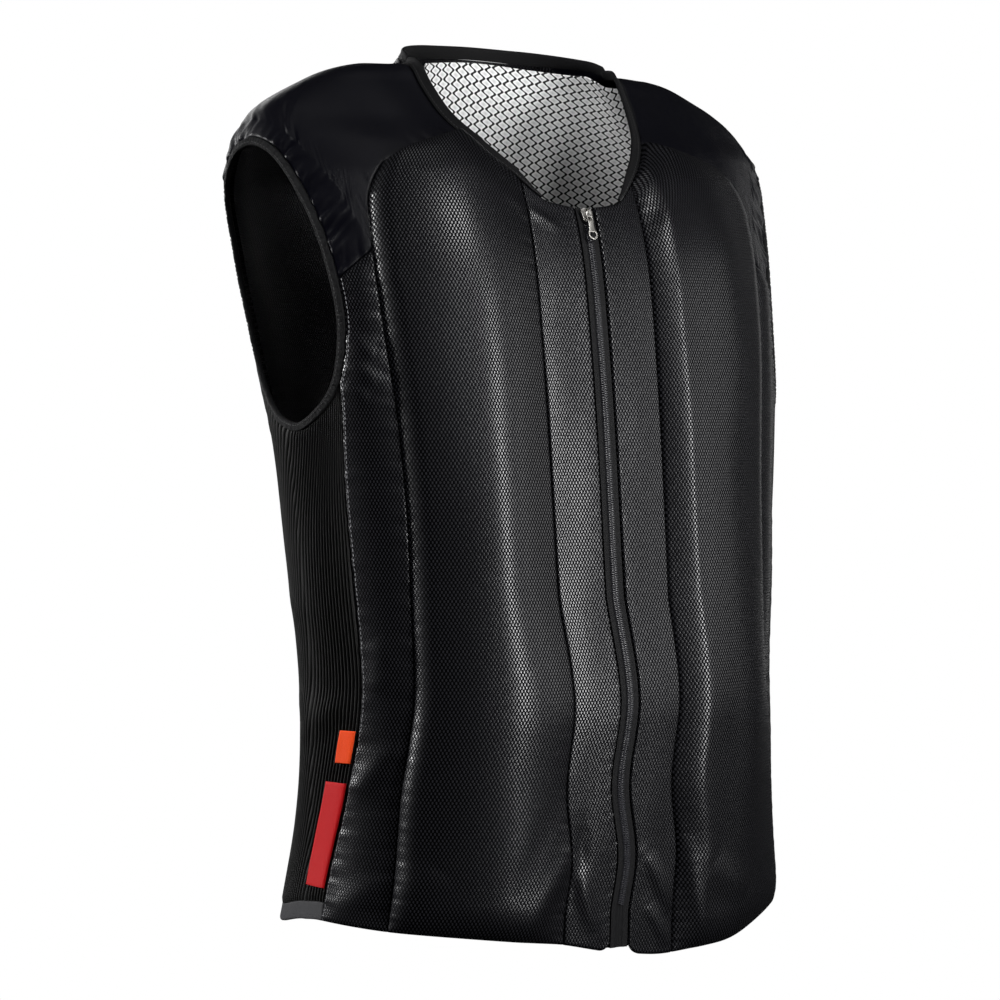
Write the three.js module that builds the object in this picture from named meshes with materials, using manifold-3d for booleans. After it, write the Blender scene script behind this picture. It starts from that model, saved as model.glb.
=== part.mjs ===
// Airbag vest with a front zip, standing in the form it has when worn. Millimetres, +Z up.
// The front faces -Y, +X is the wearer's left, and the origin lies between the shoulders.
// Every cloth panel is a patch of one body form, given by an angle round the body and a height.
// The angle is 0 at the zip, grows towards the wearer's left and is 180 at the back seam.
import * as THREE from 'three';
import { mergeVertices } from 'three/addons/utils/BufferGeometryUtils.js';
import Module from 'manifold-3d';

// Driving sizes
const SEAM_GAP = 0.35;
const ARMHOLE_GAP = 0.5;
const NECK_GAP = 0.8;
const SIDE_GAP = 0.7;
const MESH_WALL = 3;
const PLACKET_WALL = 2.4;
const YOKE_WALL = 2.6;
const KNIT_WALL = 2;
const BACK_WALL = 6;
const CHAMBER_PUFF = 9;
const STRIP_PUFF = 3;
const BACK_PUFF = 5;
const SIDE_HEM_HEIGHT = 13;
const COLLAR = { wall: 2.6, end: 6 };
const COLLAR_HEIGHTS = [
  { angle: 6, height: 2.4 },
  { angle: 11, height: 7 },
  { angle: 16, height: 8 },
  { angle: 90, height: 6.5 },
  { angle: 150, height: 9.5 },
  { angle: 180, height: 9.5 },
];
const LINING = { wall: 1, gap: 1.8, inset: 1.2, bottom: -118 };
const LINING_ANGLES = { leftTop: 94, leftFoot: 128, rightTop: 218, rightFoot: 197 };
const BINDING = { gap: 0.5, width: 6, proud: 0.6, depth: 4 };
const ZIP = { gap: 0.4, halfOpening: 8, halfChain: 2.9, top: -115, foot: -596, tapeTop: -103, hemRise: 4 };
const ZIP_TAPE = { lift: -0.9, wall: 1 };
const ZIP_CHAIN = { lift: 0.2, wall: 2.4 };
const SLIDER = { width: 10, height: 11, depth: 2.6, corner: 2.6 };
const BRIDGE = { width: 2, hole: 1.5, wall: 1.3, length: 3, rise: 1.4 };
const PULL = {
  barReach: 0.8, slotWidth: 3, slotLength: 2.9, slotCorner: 0.3, headWidth: 5.2, headFoot: 1.4, taper: 0.8,
  neckWidth: 4, neckFlare: 1, ringWidth: 7.6, ringRise: 0.9, ringHole: 2.4, holeSquash: 0.8,
  length: 18.5, wall: 1.5,
};

// The body's level sections: front and back are distances from the origin's upright axis,
// and middle is the y of the widest place
const SECTIONS = [
  { z: 22, halfWidth: 74, front: -40, back: 102.5, middle: 46, squareness: 2.0 },
  { z: 13.5, halfWidth: 84, front: -36, back: 105, middle: 46, squareness: 2.0 },
  { z: 6, halfWidth: 91, front: -28, back: 108, middle: 46, squareness: 2.0 },
  { z: 4, halfWidth: 124, front: -22, back: 109, middle: 46, squareness: 2.1 },
  { z: -11, halfWidth: 168, front: -10, back: 118, middle: 46, squareness: 2.2 },
  { z: -36, halfWidth: 205, front: 12, back: 130, middle: 48, squareness: 2.3 },
  { z: -60, halfWidth: 216, front: 39, back: 139, middle: 50, squareness: 2.4 },
  { z: -85, halfWidth: 218, front: 60, back: 146, middle: 52, squareness: 2.4 },
  { z: -140, halfWidth: 214, front: 81, back: 147, middle: 38, squareness: 2.4 },
  { z: -190, halfWidth: 209, front: 90, back: 138, middle: 22, squareness: 2.4 },
  { z: -256, halfWidth: 200, front: 99, back: 123, middle: 8, squareness: 2.4 },
  { z: -363, halfWidth: 190, front: 110, back: 104, middle: 2, squareness: 2.4 },
  { z: -469, halfWidth: 183, front: 121, back: 91, middle: 0, squareness: 2.4 },
  { z: -545, halfWidth: 185, front: 120, back: 108, middle: 0, squareness: 2.4 },
  { z: -650, halfWidth: 196, front: 116, back: 151, middle: 0, squareness: 2.4 },
];

// How far the zip wanders to the wearer's left on its way down
const ZIP_SWAY = [
  { z: -380, shift: 0 },
  { z: -450, shift: 7 },
  { z: -512, shift: -1 },
  { z: -562, shift: 5 },
  { z: -600, shift: 0 },
];
const SWAY_REACH = 22;

// The neck opening seen from above: an oval whose widest place is behind the origin
const NECK_OVAL = { halfWidth: 90, middle: 30, front: 103, back: 73 };

// How much higher than the oval the neckline is beside the zip, by angle
const NECK_FILL = [
  { angle: 0, rise: 12.5 },
  { angle: 3, rise: 8 },
  { angle: 6, rise: 1.5 },
  { angle: 8, rise: 0 },
];

// The hem, by angle round the whole body: it dips at the zip and hangs lower on the wearer's left
const HEM = [
  { angle: -180, z: -620 },
  { angle: -110, z: -617 },
  { angle: -82, z: -605 },
  { angle: -48, z: -609 },
  { angle: -12, z: -620 },
  { angle: 8, z: -635 },
  { angle: 22, z: -633 },
  { angle: 50, z: -615 },
  { angle: 82, z: -606 },
  { angle: 110, z: -615 },
  { angle: 180, z: -620 },
];

// Up-and-down seams of one half, as angles by height
const PLACKET_SEAM = [
  { z: -84, angle: 9 },
  { z: -240, angle: 10 },
  { z: -380, angle: 10.5 },
  { z: -650, angle: 10 },
];
const GROOVE = [
  { z: -64, angle: 30 },
  { z: -76, angle: 38 },
  { z: -104, angle: 43.5 },
  { z: -140, angle: 45 },
  { z: -300, angle: 46 },
  { z: -440, angle: 49.5 },
  { z: -520, angle: 54 },
  { z: -650, angle: 56 },
];
const SIDE_SEAM = [
  { z: -228, angle: 62 },
  { z: -310, angle: 66 },
  { z: -430, angle: 67 },
  { z: -510, angle: 73 },
  { z: -583, angle: 80.5 },
  { z: -650, angle: 83 },
];
const BACK_SIDE_SEAM = [
  { z: -228, angle: 106 },
  { z: -330, angle: 121 },
  { z: -650, angle: 130 },
];

// The armhole's outline, anticlockwise from its top
const ARMHOLE = [
  { angle: 81, z: -54 },
  { angle: 68, z: -66 },
  { angle: 60, z: -98 },
  { angle: 56.5, z: -145 },
  { angle: 56.5, z: -190 },
  { angle: 62, z: -228 },
  { angle: 72, z: -251 },
  { angle: 88, z: -262 },
  { angle: 106, z: -228 },
  { angle: 111, z: -165 },
  { angle: 106, z: -95 },
  { angle: 95, z: -62 },
];
// Places on that outline, as fractions of its rows
const ARMHOLE_AT = { yokeTail: 3.25 / 12, sideSeam: 5 / 12, backSeam: 8 / 12, yokeBack: 10 / 12 };
const YOKE_FRONT_AT_NECK = 17;
const YOKE_BACK_AT_NECK = 128;
const YOKE_CORNER = -64;
const YOKE_TAIL_TOP = -136;

const TAGS = [
  { name: 'short_tag', top: -470, bottom: -493, width: 12, color: '#e0481a' },
  { name: 'long_tag', top: -507, bottom: -582, width: 18, color: '#b81818' },
];
const TAG = { behindSeam: 1.2, clearance: 0.4, wall: 0.9 };

// Finishes
function finish(color, roughness, metalness = 0) {
  return new THREE.MeshStandardMaterial({ color, roughness, metalness });
}
const meshCloth = () => finish('#191919', 0.6);
const smoothNylon = () => finish('#14141a', 0.5);
const ribbedKnit = () => finish('#101010', 0.85);
const bandCloth = () => finish('#1c1c1c', 0.8);
const liningCloth = () => finish('#c9c9c9', 0.7);
const zipCloth = () => finish('#2e2e30', 0.5);
const nickel = () => finish('#b9babd', 0.3, 1);

// Smooth curve through a table: no overshoot between its rows
function smoothTable(rows, key, column) {
  const sorted = [...rows].sort((a, b) => a[key] - b[key]);
  const at = sorted.map((row) => row[key]);
  const value = sorted.map((row) => row[column]);
  const last = at.length - 1;
  const rise = at.slice(1).map((next, i) => (value[i + 1] - value[i]) / (next - at[i]));
  const slope = value.map((_, i) => {
    if (i === 0) return rise[0];
    if (i === last) return rise[last - 1];
    const product = rise[i - 1] * rise[i];
    return product > 0 ? (2 * product) / (rise[i - 1] + rise[i]) : 0;
  });
  return (where) => {
    const x = THREE.MathUtils.clamp(where, at[0], at[last]);
    let i = 0;
    while (i < last - 1 && x > at[i + 1]) i += 1;
    const step = at[i + 1] - at[i];
    const t = (x - at[i]) / step;
    const fromLeft = (1 + 2 * t) * (1 - t) ** 2 * value[i] + t * (1 - t) ** 2 * step * slope[i];
    return fromLeft + t * t * (3 - 2 * t) * value[i + 1] + t * t * (t - 1) * step * slope[i + 1];
  };
}

const section = {};
for (const column of ['halfWidth', 'front', 'back', 'middle', 'squareness']) {
  section[column] = smoothTable(SECTIONS, 'z', column);
}
const zipSway = smoothTable(ZIP_SWAY, 'z', 'shift');
const hemHeight = smoothTable(HEM, 'angle', 'z');

const signedPower = (base, power) => Math.sign(base) * Math.abs(base) ** power;
const wrapAngle = (angle) => angle - 360 * Math.round(angle / 360);
const mix = THREE.MathUtils.lerp;

// Point of the body form
function formPoint(angle, z) {
  const turn = THREE.MathUtils.degToRad(angle);
  const power = 2 / section.squareness(z);
  const middle = section.middle(z);
  const toFront = Math.cos(turn) > 0;
  const depth = toFront ? section.front(z) + middle : section.back(z) - middle;
  const nearZip = Math.exp(-((wrapAngle(angle) / SWAY_REACH) ** 2));
  return new THREE.Vector3(
    section.halfWidth(z) * signedPower(Math.sin(turn), power) + zipSway(z) * nearZip,
    middle - depth * signedPower(Math.cos(turn), power),
    z,
  );
}

// Height at which the form meets the neck oval, by halving, with the front's middle filled in
const neckFill = smoothTable(NECK_FILL, 'angle', 'rise');
function neckHeight(angle) {
  let inside = SECTIONS[0].z;
  let outside = SECTIONS[SECTIONS.length - 1].z / 3;
  for (let pass = 0; pass < 40; pass += 1) {
    const z = (inside + outside) / 2;
    const p = formPoint(angle, z);
    const depth = p.y < NECK_OVAL.middle ? NECK_OVAL.front : NECK_OVAL.back;
    const reach = Math.hypot(p.x / NECK_OVAL.halfWidth, (p.y - NECK_OVAL.middle) / depth);
    if (reach < 1) inside = z;
    else outside = z;
  }
  return inside + neckFill(Math.abs(wrapAngle(angle)));
}

// Outward normal of the body form
function formNormal(angle, z) {
  const turnStep = 0.4;
  const heightStep = 0.4;
  const highest = SECTIONS[0].z - heightStep;
  const level = Math.min(z, highest);
  const around = formPoint(angle + turnStep, level).sub(formPoint(angle - turnStep, level));
  const upward = formPoint(angle, level + heightStep).sub(formPoint(angle, level - heightStep));
  return around.cross(upward).normalize();
}

const offForm = (angle, z, lift) => formPoint(angle, z).addScaledVector(formNormal(angle, z), lift);

// Angle of the form's place that lies a given x from the middle plane, at the front
function angleAtX(x, z) {
  const share = Math.abs(x) / section.halfWidth(z);
  return Math.sign(x) * THREE.MathUtils.radToDeg(Math.asin(share ** (section.squareness(z) / 2)));
}

// Closed mesh from a loop of points at each station, with flat ends or joined into a ring
function sweptMesh(name, stations, material, ring = false) {
  const loop = stations[0].length;
  const positions = stations.flat().flatMap((p) => [p.x, p.y, p.z]);
  const index = [];
  const spans = ring ? stations.length : stations.length - 1;
  for (let i = 0; i < spans; i += 1) {
    const here = i * loop;
    const next = ((i + 1) % stations.length) * loop;
    for (let k = 0; k < loop; k += 1) {
      const after = (k + 1) % loop;
      index.push(here + k, next + k, here + after, here + after, next + k, next + after);
    }
  }
  if (!ring) {
    const end = (stations.length - 1) * loop;
    for (let k = 0; k < loop / 2 - 1; k += 1) {
      const across = loop - 1 - k;
      index.push(k, k + 1, across, k + 1, across - 1, across);
      index.push(end + k, end + across, end + k + 1, end + k + 1, end + across, end + across - 1);
    }
  }
  return meshFrom(name, positions, index, material);
}

// Mesh whose faces are turned outwards whatever way round they were listed
function meshFrom(name, positions, index, material) {
  let volume = 0;
  const corner = (k) => new THREE.Vector3().fromArray(positions, 3 * index[k]);
  for (let k = 0; k < index.length; k += 3) {
    volume += corner(k).dot(corner(k + 1).cross(corner(k + 2)));
  }
  const outward = volume > 0 ? index : [...index].reverse();
  const geometry = new THREE.BufferGeometry();
  geometry.setAttribute('position', new THREE.Float32BufferAttribute(positions, 3));
  geometry.setIndex(outward);
  geometry.computeVertexNormals();
  const mesh = new THREE.Mesh(geometry, material);
  mesh.name = name;
  return mesh;
}

// Curve helpers: a curve takes 0 to 1 and gives a place { angle, z } on the form
const place = (angle, z) => ({ angle, z });
const mixPlace = (a, b, t) => place(mix(a.angle, b.angle, t), mix(a.z, b.z, t));
const straight = (from, to) => (t) => mixPlace(from, to, t);
const reversed = (curve) => (t) => curve(1 - t);

// Joins curves end to end, each with its own share of the whole
function chained(...parts) {
  const total = parts.reduce((sum, part) => sum + part.share, 0);
  return (t) => {
    let before = 0;
    for (const part of parts) {
      const span = part.share / total;
      if (t <= before + span || part === parts[parts.length - 1]) return part.curve((t - before) / span);
      before += span;
    }
    return parts[0].curve(0);
  };
}

// A seam of a half, between two heights
function seamCurve(table, bottom, top) {
  const angleAt = smoothTable(table, 'z', 'angle');
  return (t) => place(angleAt(mix(bottom, top, t)), mix(bottom, top, t));
}

const ANGLE_MM = 3.5;
const armholeCurve = new THREE.CatmullRomCurve3(
  ARMHOLE.map((row) => new THREE.Vector3(row.angle * ANGLE_MM, row.z, 0)), true, 'centripetal',
);
const armholePlace = (t) => {
  const p = armholeCurve.getPoint(THREE.MathUtils.euclideanModulo(t, 1));
  return place(p.x / ANGLE_MM, p.y);
};
const armholePart = (from, to) => (t) => armholePlace(mix(from, to, t));
const neckPart = (from, to) => (t) => place(mix(from, to, t), neckHeight(mix(from, to, t)));
const hemPart = (from, to, side) => (t) => {
  const angle = mix(from, to, t);
  return place(angle, hemHeight(wrapAngle(side * angle)));
};

// Patch between four curves: bottom and top run the same way, left and right run upwards
function patch(bottom, top, left, right) {
  return (u, v) => {
    const b = bottom(u);
    const t = top(u);
    const l = left(v);
    const r = right(v);
    const value = (key) => {
      const low = mix(bottom(0)[key], bottom(1)[key], u);
      const high = mix(top(0)[key], top(1)[key], u);
      return mix(b[key], t[key], v) + mix(l[key], r[key], u) - mix(low, high, v);
    };
    return place(value('angle'), value('z'));
  };
}

// Cloth wall over a patch: its outer face is lifted by a puff, its inner face is a wall inside the form
function clothWall(name, shape, options) {
  const { columns, rows, wall, material, side = 1, lift = 0, puff = () => 0, gap = SEAM_GAP } = options;
  const at = (u, v) => {
    const p = shape(u, v);
    return place(side * p.angle, p.z);
  };
  const span = (a, b) => formPoint(a.angle, a.z).distanceTo(formPoint(b.angle, b.z));
  const insetAcross = (v) => gap / (columns * span(at(0.5, v), at(0.5 + 1 / columns, v)));
  const insetUp = (u) => gap / (rows * span(at(u, 0.5), at(u, 0.5 + 1 / rows)));
  const outer = [];
  const inner = [];
  for (let j = 0; j <= rows; j += 1) {
    for (let i = 0; i <= columns; i += 1) {
      const du = insetAcross(j / rows);
      const dv = insetUp(i / columns);
      const u = mix(du, 1 - du, i / columns);
      const v = mix(dv, 1 - dv, j / rows);
      const p = at(u, v);
      outer.push(offForm(p.angle, p.z, lift + puff(i / columns, j / rows)));
      inner.push(offForm(p.angle, p.z, lift - wall));
    }
  }
  const count = outer.length;
  const index = [];
  const id = (i, j) => j * (columns + 1) + i;
  const quad = (a, b, c, d) => index.push(a, b, c, a, c, d);
  for (let j = 0; j < rows; j += 1) {
    for (let i = 0; i < columns; i += 1) {
      quad(id(i, j), id(i + 1, j), id(i + 1, j + 1), id(i, j + 1));
      quad(count + id(i, j), count + id(i, j + 1), count + id(i + 1, j + 1), count + id(i + 1, j));
    }
  }
  for (let i = 0; i < columns; i += 1) {
    quad(id(i, 0), count + id(i, 0), count + id(i + 1, 0), id(i + 1, 0));
    quad(id(i, rows), id(i + 1, rows), count + id(i + 1, rows), count + id(i, rows));
  }
  for (let j = 0; j < rows; j += 1) {
    quad(id(0, j), id(0, j + 1), count + id(0, j + 1), count + id(0, j));
    quad(id(columns, j), count + id(columns, j), count + id(columns, j + 1), id(columns, j + 1));
  }
  const positions = [...outer, ...inner].flatMap((p) => [p.x, p.y, p.z]);
  return meshFrom(name, positions, index, material);
}

// Puffs: full over the middle of a panel and gone at its edges
const crown = (t, fullness) => Math.max(0, Math.sin(Math.PI * t)) ** fullness;
const pillow = (height, across, along) => (u, v) => height * crown(u, across) * crown(v, along);

const sides = [
  { side: -1, word: 'right' },
  { side: 1, word: 'left' },
];

// Places where the seams of a half meet
const grooveTop = place(smoothTable(GROOVE, 'z', 'angle')(YOKE_CORNER), YOKE_CORNER);
const yokeNeckFront = neckPart(YOKE_FRONT_AT_NECK, YOKE_FRONT_AT_NECK)(0);
const yokeNeckBack = neckPart(YOKE_BACK_AT_NECK, YOKE_BACK_AT_NECK)(0);
const yokeTail = armholePlace(ARMHOLE_AT.yokeTail);
const grooveAtTail = place(smoothTable(GROOVE, 'z', 'angle')(YOKE_TAIL_TOP), YOKE_TAIL_TOP);

// Height at which an up-and-down seam meets the hem of a side
function hemMeeting(table, side) {
  const angleAt = smoothTable(table, 'z', 'angle');
  let z = HEM[0].z;
  for (let pass = 0; pass < 6; pass += 1) z = hemHeight(side * angleAt(z));
  return place(angleAt(z), z);
}

function frontPanels({ side, word }) {
  const grooveFoot = hemMeeting(GROOVE, side);
  const placketFoot = hemMeeting(PLACKET_SEAM, side);
  const sideFoot = hemMeeting(SIDE_SEAM, side);
  const placketHead = place(PLACKET_SEAM[0].angle, neckHeight(PLACKET_SEAM[0].angle));
  const zipFootAngle = angleAtX(ZIP.halfOpening, hemHeight(0));
  const zipHeadAngle = angleAtX(ZIP.halfOpening, neckHeight(0));
  const zipEdge = (t) => {
    const z = mix(hemHeight(side * zipFootAngle), neckHeight(zipHeadAngle), t);
    return place(angleAtX(ZIP.halfOpening, z), z);
  };

  const chamber = patch(
    hemPart(placketFoot.angle, grooveFoot.angle, side),
    chained(
      { share: 4, curve: neckPart(placketHead.angle, yokeNeckFront.angle) },
      { share: 4, curve: straight(yokeNeckFront, grooveTop) },
    ),
    seamCurve(PLACKET_SEAM, placketFoot.z, placketHead.z),
    seamCurve(GROOVE, grooveFoot.z, grooveTop.z),
  );
  const strip = patch(
    hemPart(grooveFoot.angle, sideFoot.angle, side),
    straight(grooveAtTail, yokeTail),
    seamCurve(GROOVE, grooveFoot.z, grooveAtTail.z),
    chained(
      { share: 14, curve: seamCurve(SIDE_SEAM, sideFoot.z, SIDE_SEAM[0].z) },
      { share: 4, curve: armholePart(ARMHOLE_AT.sideSeam, ARMHOLE_AT.yokeTail) },
    ),
  );
  const placket = patch(
    hemPart(zipFootAngle, placketFoot.angle, side),
    neckPart(zipHeadAngle, placketHead.angle),
    zipEdge,
    seamCurve(PLACKET_SEAM, placketFoot.z, placketHead.z),
  );
  return [
    clothWall(`front_chamber_${word}`, chamber, {
      side, columns: 6, rows: 26, wall: MESH_WALL, material: meshCloth(),
      puff: pillow(CHAMBER_PUFF, 0.7, 0.4),
    }),
    clothWall(`front_strip_${word}`, strip, {
      side, columns: 2, rows: 22, wall: MESH_WALL, material: meshCloth(),
      puff: pillow(STRIP_PUFF, 1, 0.5),
    }),
    clothWall(`placket_${word}`, placket, {
      side, columns: 3, rows: 30, wall: PLACKET_WALL, material: meshCloth(),
    }),
  ];
}

function shoulderYoke({ side, word }) {
  const shape = patch(
    chained(
      { share: 3, curve: straight(yokeNeckFront, grooveTop) },
      { share: 4, curve: seamCurve(GROOVE, grooveTop.z, grooveAtTail.z) },
      { share: 2, curve: straight(grooveAtTail, yokeTail) },
    ),
    straight(yokeNeckBack, armholePlace(ARMHOLE_AT.yokeBack)),
    neckPart(yokeNeckFront.angle, yokeNeckBack.angle),
    reversed(armholePart(ARMHOLE_AT.yokeBack - 1, ARMHOLE_AT.yokeTail)),
  );
  return clothWall(`shoulder_yoke_${word}`, shape, {
    side, columns: 7, rows: 20, wall: YOKE_WALL, material: smoothNylon(), gap: ARMHOLE_GAP,
  });
}

function sidePanel({ side, word }) {
  const raised = (curve, height) => (t) => place(curve(t).angle, curve(t).z + height);
  const frontFoot = hemMeeting(SIDE_SEAM, side);
  const backFoot = hemMeeting(BACK_SIDE_SEAM, side);
  const hem = hemPart(frontFoot.angle, backFoot.angle, side);
  const bandTop = raised(hem, SIDE_HEM_HEIGHT);
  const panel = patch(
    bandTop,
    armholePart(ARMHOLE_AT.sideSeam, ARMHOLE_AT.backSeam),
    seamCurve(SIDE_SEAM, bandTop(0).z, SIDE_SEAM[0].z),
    seamCurve(BACK_SIDE_SEAM, bandTop(1).z, BACK_SIDE_SEAM[0].z),
  );
  const band = patch(hem, bandTop, straight(hem(0), bandTop(0)), straight(hem(1), bandTop(1)));
  return [
    clothWall(`side_panel_${word}`, panel, {
      side, columns: 10, rows: 13, wall: KNIT_WALL, material: ribbedKnit(), gap: SIDE_GAP,
    }),
    clothWall(`side_hem_${word}`, band, {
      side, columns: 8, rows: 1, wall: KNIT_WALL, material: bandCloth(), gap: ARMHOLE_GAP,
    }),
  ];
}

// The back goes once round from the wearer's left to the wearer's right
function backPanel() {
  const otherSide = (curve) => (t) => place(360 - curve(t).angle, curve(t).z);
  const foot = hemMeeting(BACK_SIDE_SEAM, 1);
  const farFoot = hemMeeting(BACK_SIDE_SEAM, -1);
  const edge = (start) => chained(
    { share: 12, curve: seamCurve(BACK_SIDE_SEAM, start.z, BACK_SIDE_SEAM[0].z) },
    { share: 6, curve: armholePart(ARMHOLE_AT.backSeam, ARMHOLE_AT.yokeBack) },
    { share: 6, curve: straight(armholePlace(ARMHOLE_AT.yokeBack), yokeNeckBack) },
  );
  const shape = patch(
    hemPart(foot.angle, 360 - farFoot.angle, 1),
    neckPart(yokeNeckBack.angle, 360 - yokeNeckBack.angle),
    edge(foot),
    otherSide(edge(farFoot)),
  );
  return clothWall('back_panel', shape, {
    columns: 16, rows: 24, wall: BACK_WALL, material: meshCloth(), gap: ARMHOLE_GAP,
    puff: pillow(BACK_PUFF, 0.5, 0.5),
  });
}

// Pale lining that lies against the inside of the upper back
function backLining() {
  const top = neckPart(LINING_ANGLES.leftTop, LINING_ANGLES.rightTop);
  const corner = (angle) => place(angle, LINING.bottom);
  const foot = straight(corner(LINING_ANGLES.leftFoot), corner(LINING_ANGLES.rightFoot));
  const shape = patch(foot, top, straight(foot(0), top(0)), straight(foot(1), top(1)));
  return clothWall('back_lining', shape, {
    columns: 14, rows: 6, wall: LINING.wall, material: liningCloth(),
    lift: -BACK_WALL - LINING.gap, gap: LINING.inset,
  });
}

// Stand band that goes on from the neck edge and turns upright
function collar() {
  const stationCount = 44;
  const steps = 3;
  const heightAt = smoothTable(COLLAR_HEIGHTS, 'angle', 'height');
  const leanAt = smoothTable([{ angle: 10, lean: 0.7 }, { angle: 60, lean: 0.2 }], 'angle', 'lean');
  const neckAxis = new THREE.Vector3(0, SECTIONS[0].middle, 0);
  const stations = [];
  for (let i = 0; i <= stationCount; i += 1) {
    const angle = mix(COLLAR.end, 360 - COLLAR.end, i / stationCount);
    const ahead = neckPart(angle + 0.5, angle + 0.5)(0);
    const behind = neckPart(angle - 0.5, angle - 0.5)(0);
    const here = neckPart(angle, angle)(0);
    const base = formPoint(here.angle, here.z);
    const normal = formNormal(here.angle, here.z);
    const along = formPoint(ahead.angle, ahead.z).sub(formPoint(behind.angle, behind.z));
    const inward = new THREE.Vector3().crossVectors(normal, along).normalize();
    const turned = Math.abs(wrapAngle(angle));
    const upright = neckAxis.clone().sub(base).setZ(0).normalize().multiplyScalar(leanAt(turned));
    upright.z = 1;
    const fullTurn = Math.atan2(upright.dot(normal), upright.dot(inward));
    const height = heightAt(turned);
    const outside = [];
    const inside = [];
    const point = base.clone().addScaledVector(inward, NECK_GAP);
    for (let k = 0; k <= steps; k += 1) {
      const bend = fullTurn * THREE.MathUtils.smoothstep(k / steps, 0, 0.75);
      const across = normal.clone().multiplyScalar(Math.cos(bend)).addScaledVector(inward, -Math.sin(bend));
      const forward = inward.clone().multiplyScalar(Math.cos(bend)).addScaledVector(normal, Math.sin(bend));
      if (k > 0) point.addScaledVector(forward, height / steps);
      outside.push(point.clone());
      inside.push(point.clone().addScaledVector(across, -COLLAR.wall));
    }
    stations.push([...outside, ...inside.reverse()]);
  }
  return sweptMesh('collar', stations, bandCloth());
}

// Elastic edge that runs round the armhole, just inside the panels' edges
function armholeBinding({ side, word }) {
  const stationCount = 56;
  const stations = [];
  for (let i = 0; i < stationCount; i += 1) {
    const here = armholePlace(i / stationCount);
    const ahead = armholePlace((i + 0.2) / stationCount);
    const behind = armholePlace((i - 0.2) / stationCount);
    const base = formPoint(side * here.angle, here.z);
    const normal = formNormal(side * here.angle, here.z);
    const along = formPoint(side * ahead.angle, ahead.z).sub(formPoint(side * behind.angle, behind.z));
    const intoHole = new THREE.Vector3().crossVectors(along, normal).normalize().multiplyScalar(-side);
    const corner = (across, lift) => base.clone()
      .addScaledVector(intoHole, across).addScaledVector(normal, lift);
    const lowest = BINDING.proud - BINDING.depth;
    stations.push([
      corner(BINDING.gap, BINDING.proud),
      corner(BINDING.gap + BINDING.width, BINDING.proud),
      corner(BINDING.gap + BINDING.width, lowest),
      corner(BINDING.gap, lowest),
    ]);
  }
  return sweptMesh(`armhole_binding_${word}`, stations, bandCloth(), true);
}

// Strip of the zip between two x places and two heights
function zipStrip(name, fromX, toX, foot, top, layer) {
  const rowsUp = 32;
  const stations = [];
  for (let i = 0; i <= rowsUp; i += 1) {
    const z = mix(foot, top, i / rowsUp);
    const corner = (x, lift) => offForm(angleAtX(x, z), z, lift);
    const inside = layer.lift - layer.wall;
    stations.push([
      corner(fromX, layer.lift), corner(toX, layer.lift), corner(toX, inside), corner(fromX, inside),
    ]);
  }
  return sweptMesh(name, stations, zipCloth());
}

function zipStrips() {
  const tapeFrom = ZIP.halfChain + ZIP.gap;
  const tapeTo = ZIP.halfOpening - ZIP.gap;
  const tapeFoot = hemHeight(0) + ZIP.hemRise;
  return [
    zipStrip('zip_tape_right', -tapeTo, -tapeFrom, tapeFoot, ZIP.tapeTop, ZIP_TAPE),
    zipStrip('zip_tape_left', tapeFrom, tapeTo, tapeFoot, ZIP.tapeTop, ZIP_TAPE),
    zipStrip('zip_coil', -ZIP.halfChain, ZIP.halfChain, ZIP.foot, ZIP.top, ZIP_CHAIN),
  ];
}

// Fabric tags sewn into the wearer's right side seam, lying back over the side panel
function tag({ name, top, bottom, width, color }) {
  const seamAngle = smoothTable(SIDE_SEAM, 'z', 'angle');
  const corner = (z, behind) => {
    const angle = seamAngle(z);
    const degree = formPoint(angle + 0.5, z).distanceTo(formPoint(angle - 0.5, z));
    return place(angle + behind / degree, z);
  };
  const edge = (behind) => (t) => corner(mix(bottom, top, t), behind);
  const front = edge(TAG.behindSeam);
  const back = edge(TAG.behindSeam + width);
  const shape = patch(straight(front(0), back(0)), straight(front(1), back(1)), front, back);
  return clothWall(name, shape, {
    side: -1, columns: 2, rows: 4, wall: TAG.wall, material: finish(color, 0.7),
    lift: TAG.clearance + TAG.wall, gap: 0,
  });
}

// Flat outline in local x and z with a thickness along local y
function plate(shape, thickness) {
  const options = { depth: thickness, bevelEnabled: false, curveSegments: 4 };
  const geometry = new THREE.ExtrudeGeometry(shape, options);
  geometry.rotateX(Math.PI / 2);
  geometry.translate(0, thickness / 2, 0);
  return geometry;
}

// Outline or hole with round corners
function roundedOutline(path, width, bottom, top, corner) {
  const w = width / 2;
  path.moveTo(-w + corner, bottom);
  path.lineTo(w - corner, bottom);
  path.quadraticCurveTo(w, bottom, w, bottom + corner);
  path.lineTo(w, top - corner);
  path.quadraticCurveTo(w, top, w - corner, top);
  path.lineTo(-w + corner, top);
  path.quadraticCurveTo(-w, top, -w, top - corner);
  path.lineTo(-w, bottom + corner);
  path.quadraticCurveTo(-w, bottom, -w + corner, bottom);
  return path;
}

// Joins two closed shapes into one solid
const wasm = await Module();
wasm.setup();
function solidOf(geometry) {
  const bare = geometry.clone();
  bare.deleteAttribute('normal');
  bare.deleteAttribute('uv');
  const merged = mergeVertices(bare);
  const vertProperties = new Float32Array(merged.attributes.position.array);
  const triVerts = new Uint32Array(merged.index.array);
  return new wasm.Manifold(new wasm.Mesh({ numProp: 3, vertProperties, triVerts }));
}
function joined(first, second) {
  const { vertProperties, triVerts } = solidOf(first).add(solidOf(second)).getMesh();
  const geometry = new THREE.BufferGeometry();
  geometry.setAttribute('position', new THREE.BufferAttribute(vertProperties, 3));
  geometry.setIndex(new THREE.BufferAttribute(triVerts, 1));
  geometry.computeVertexNormals();
  return geometry;
}

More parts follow.
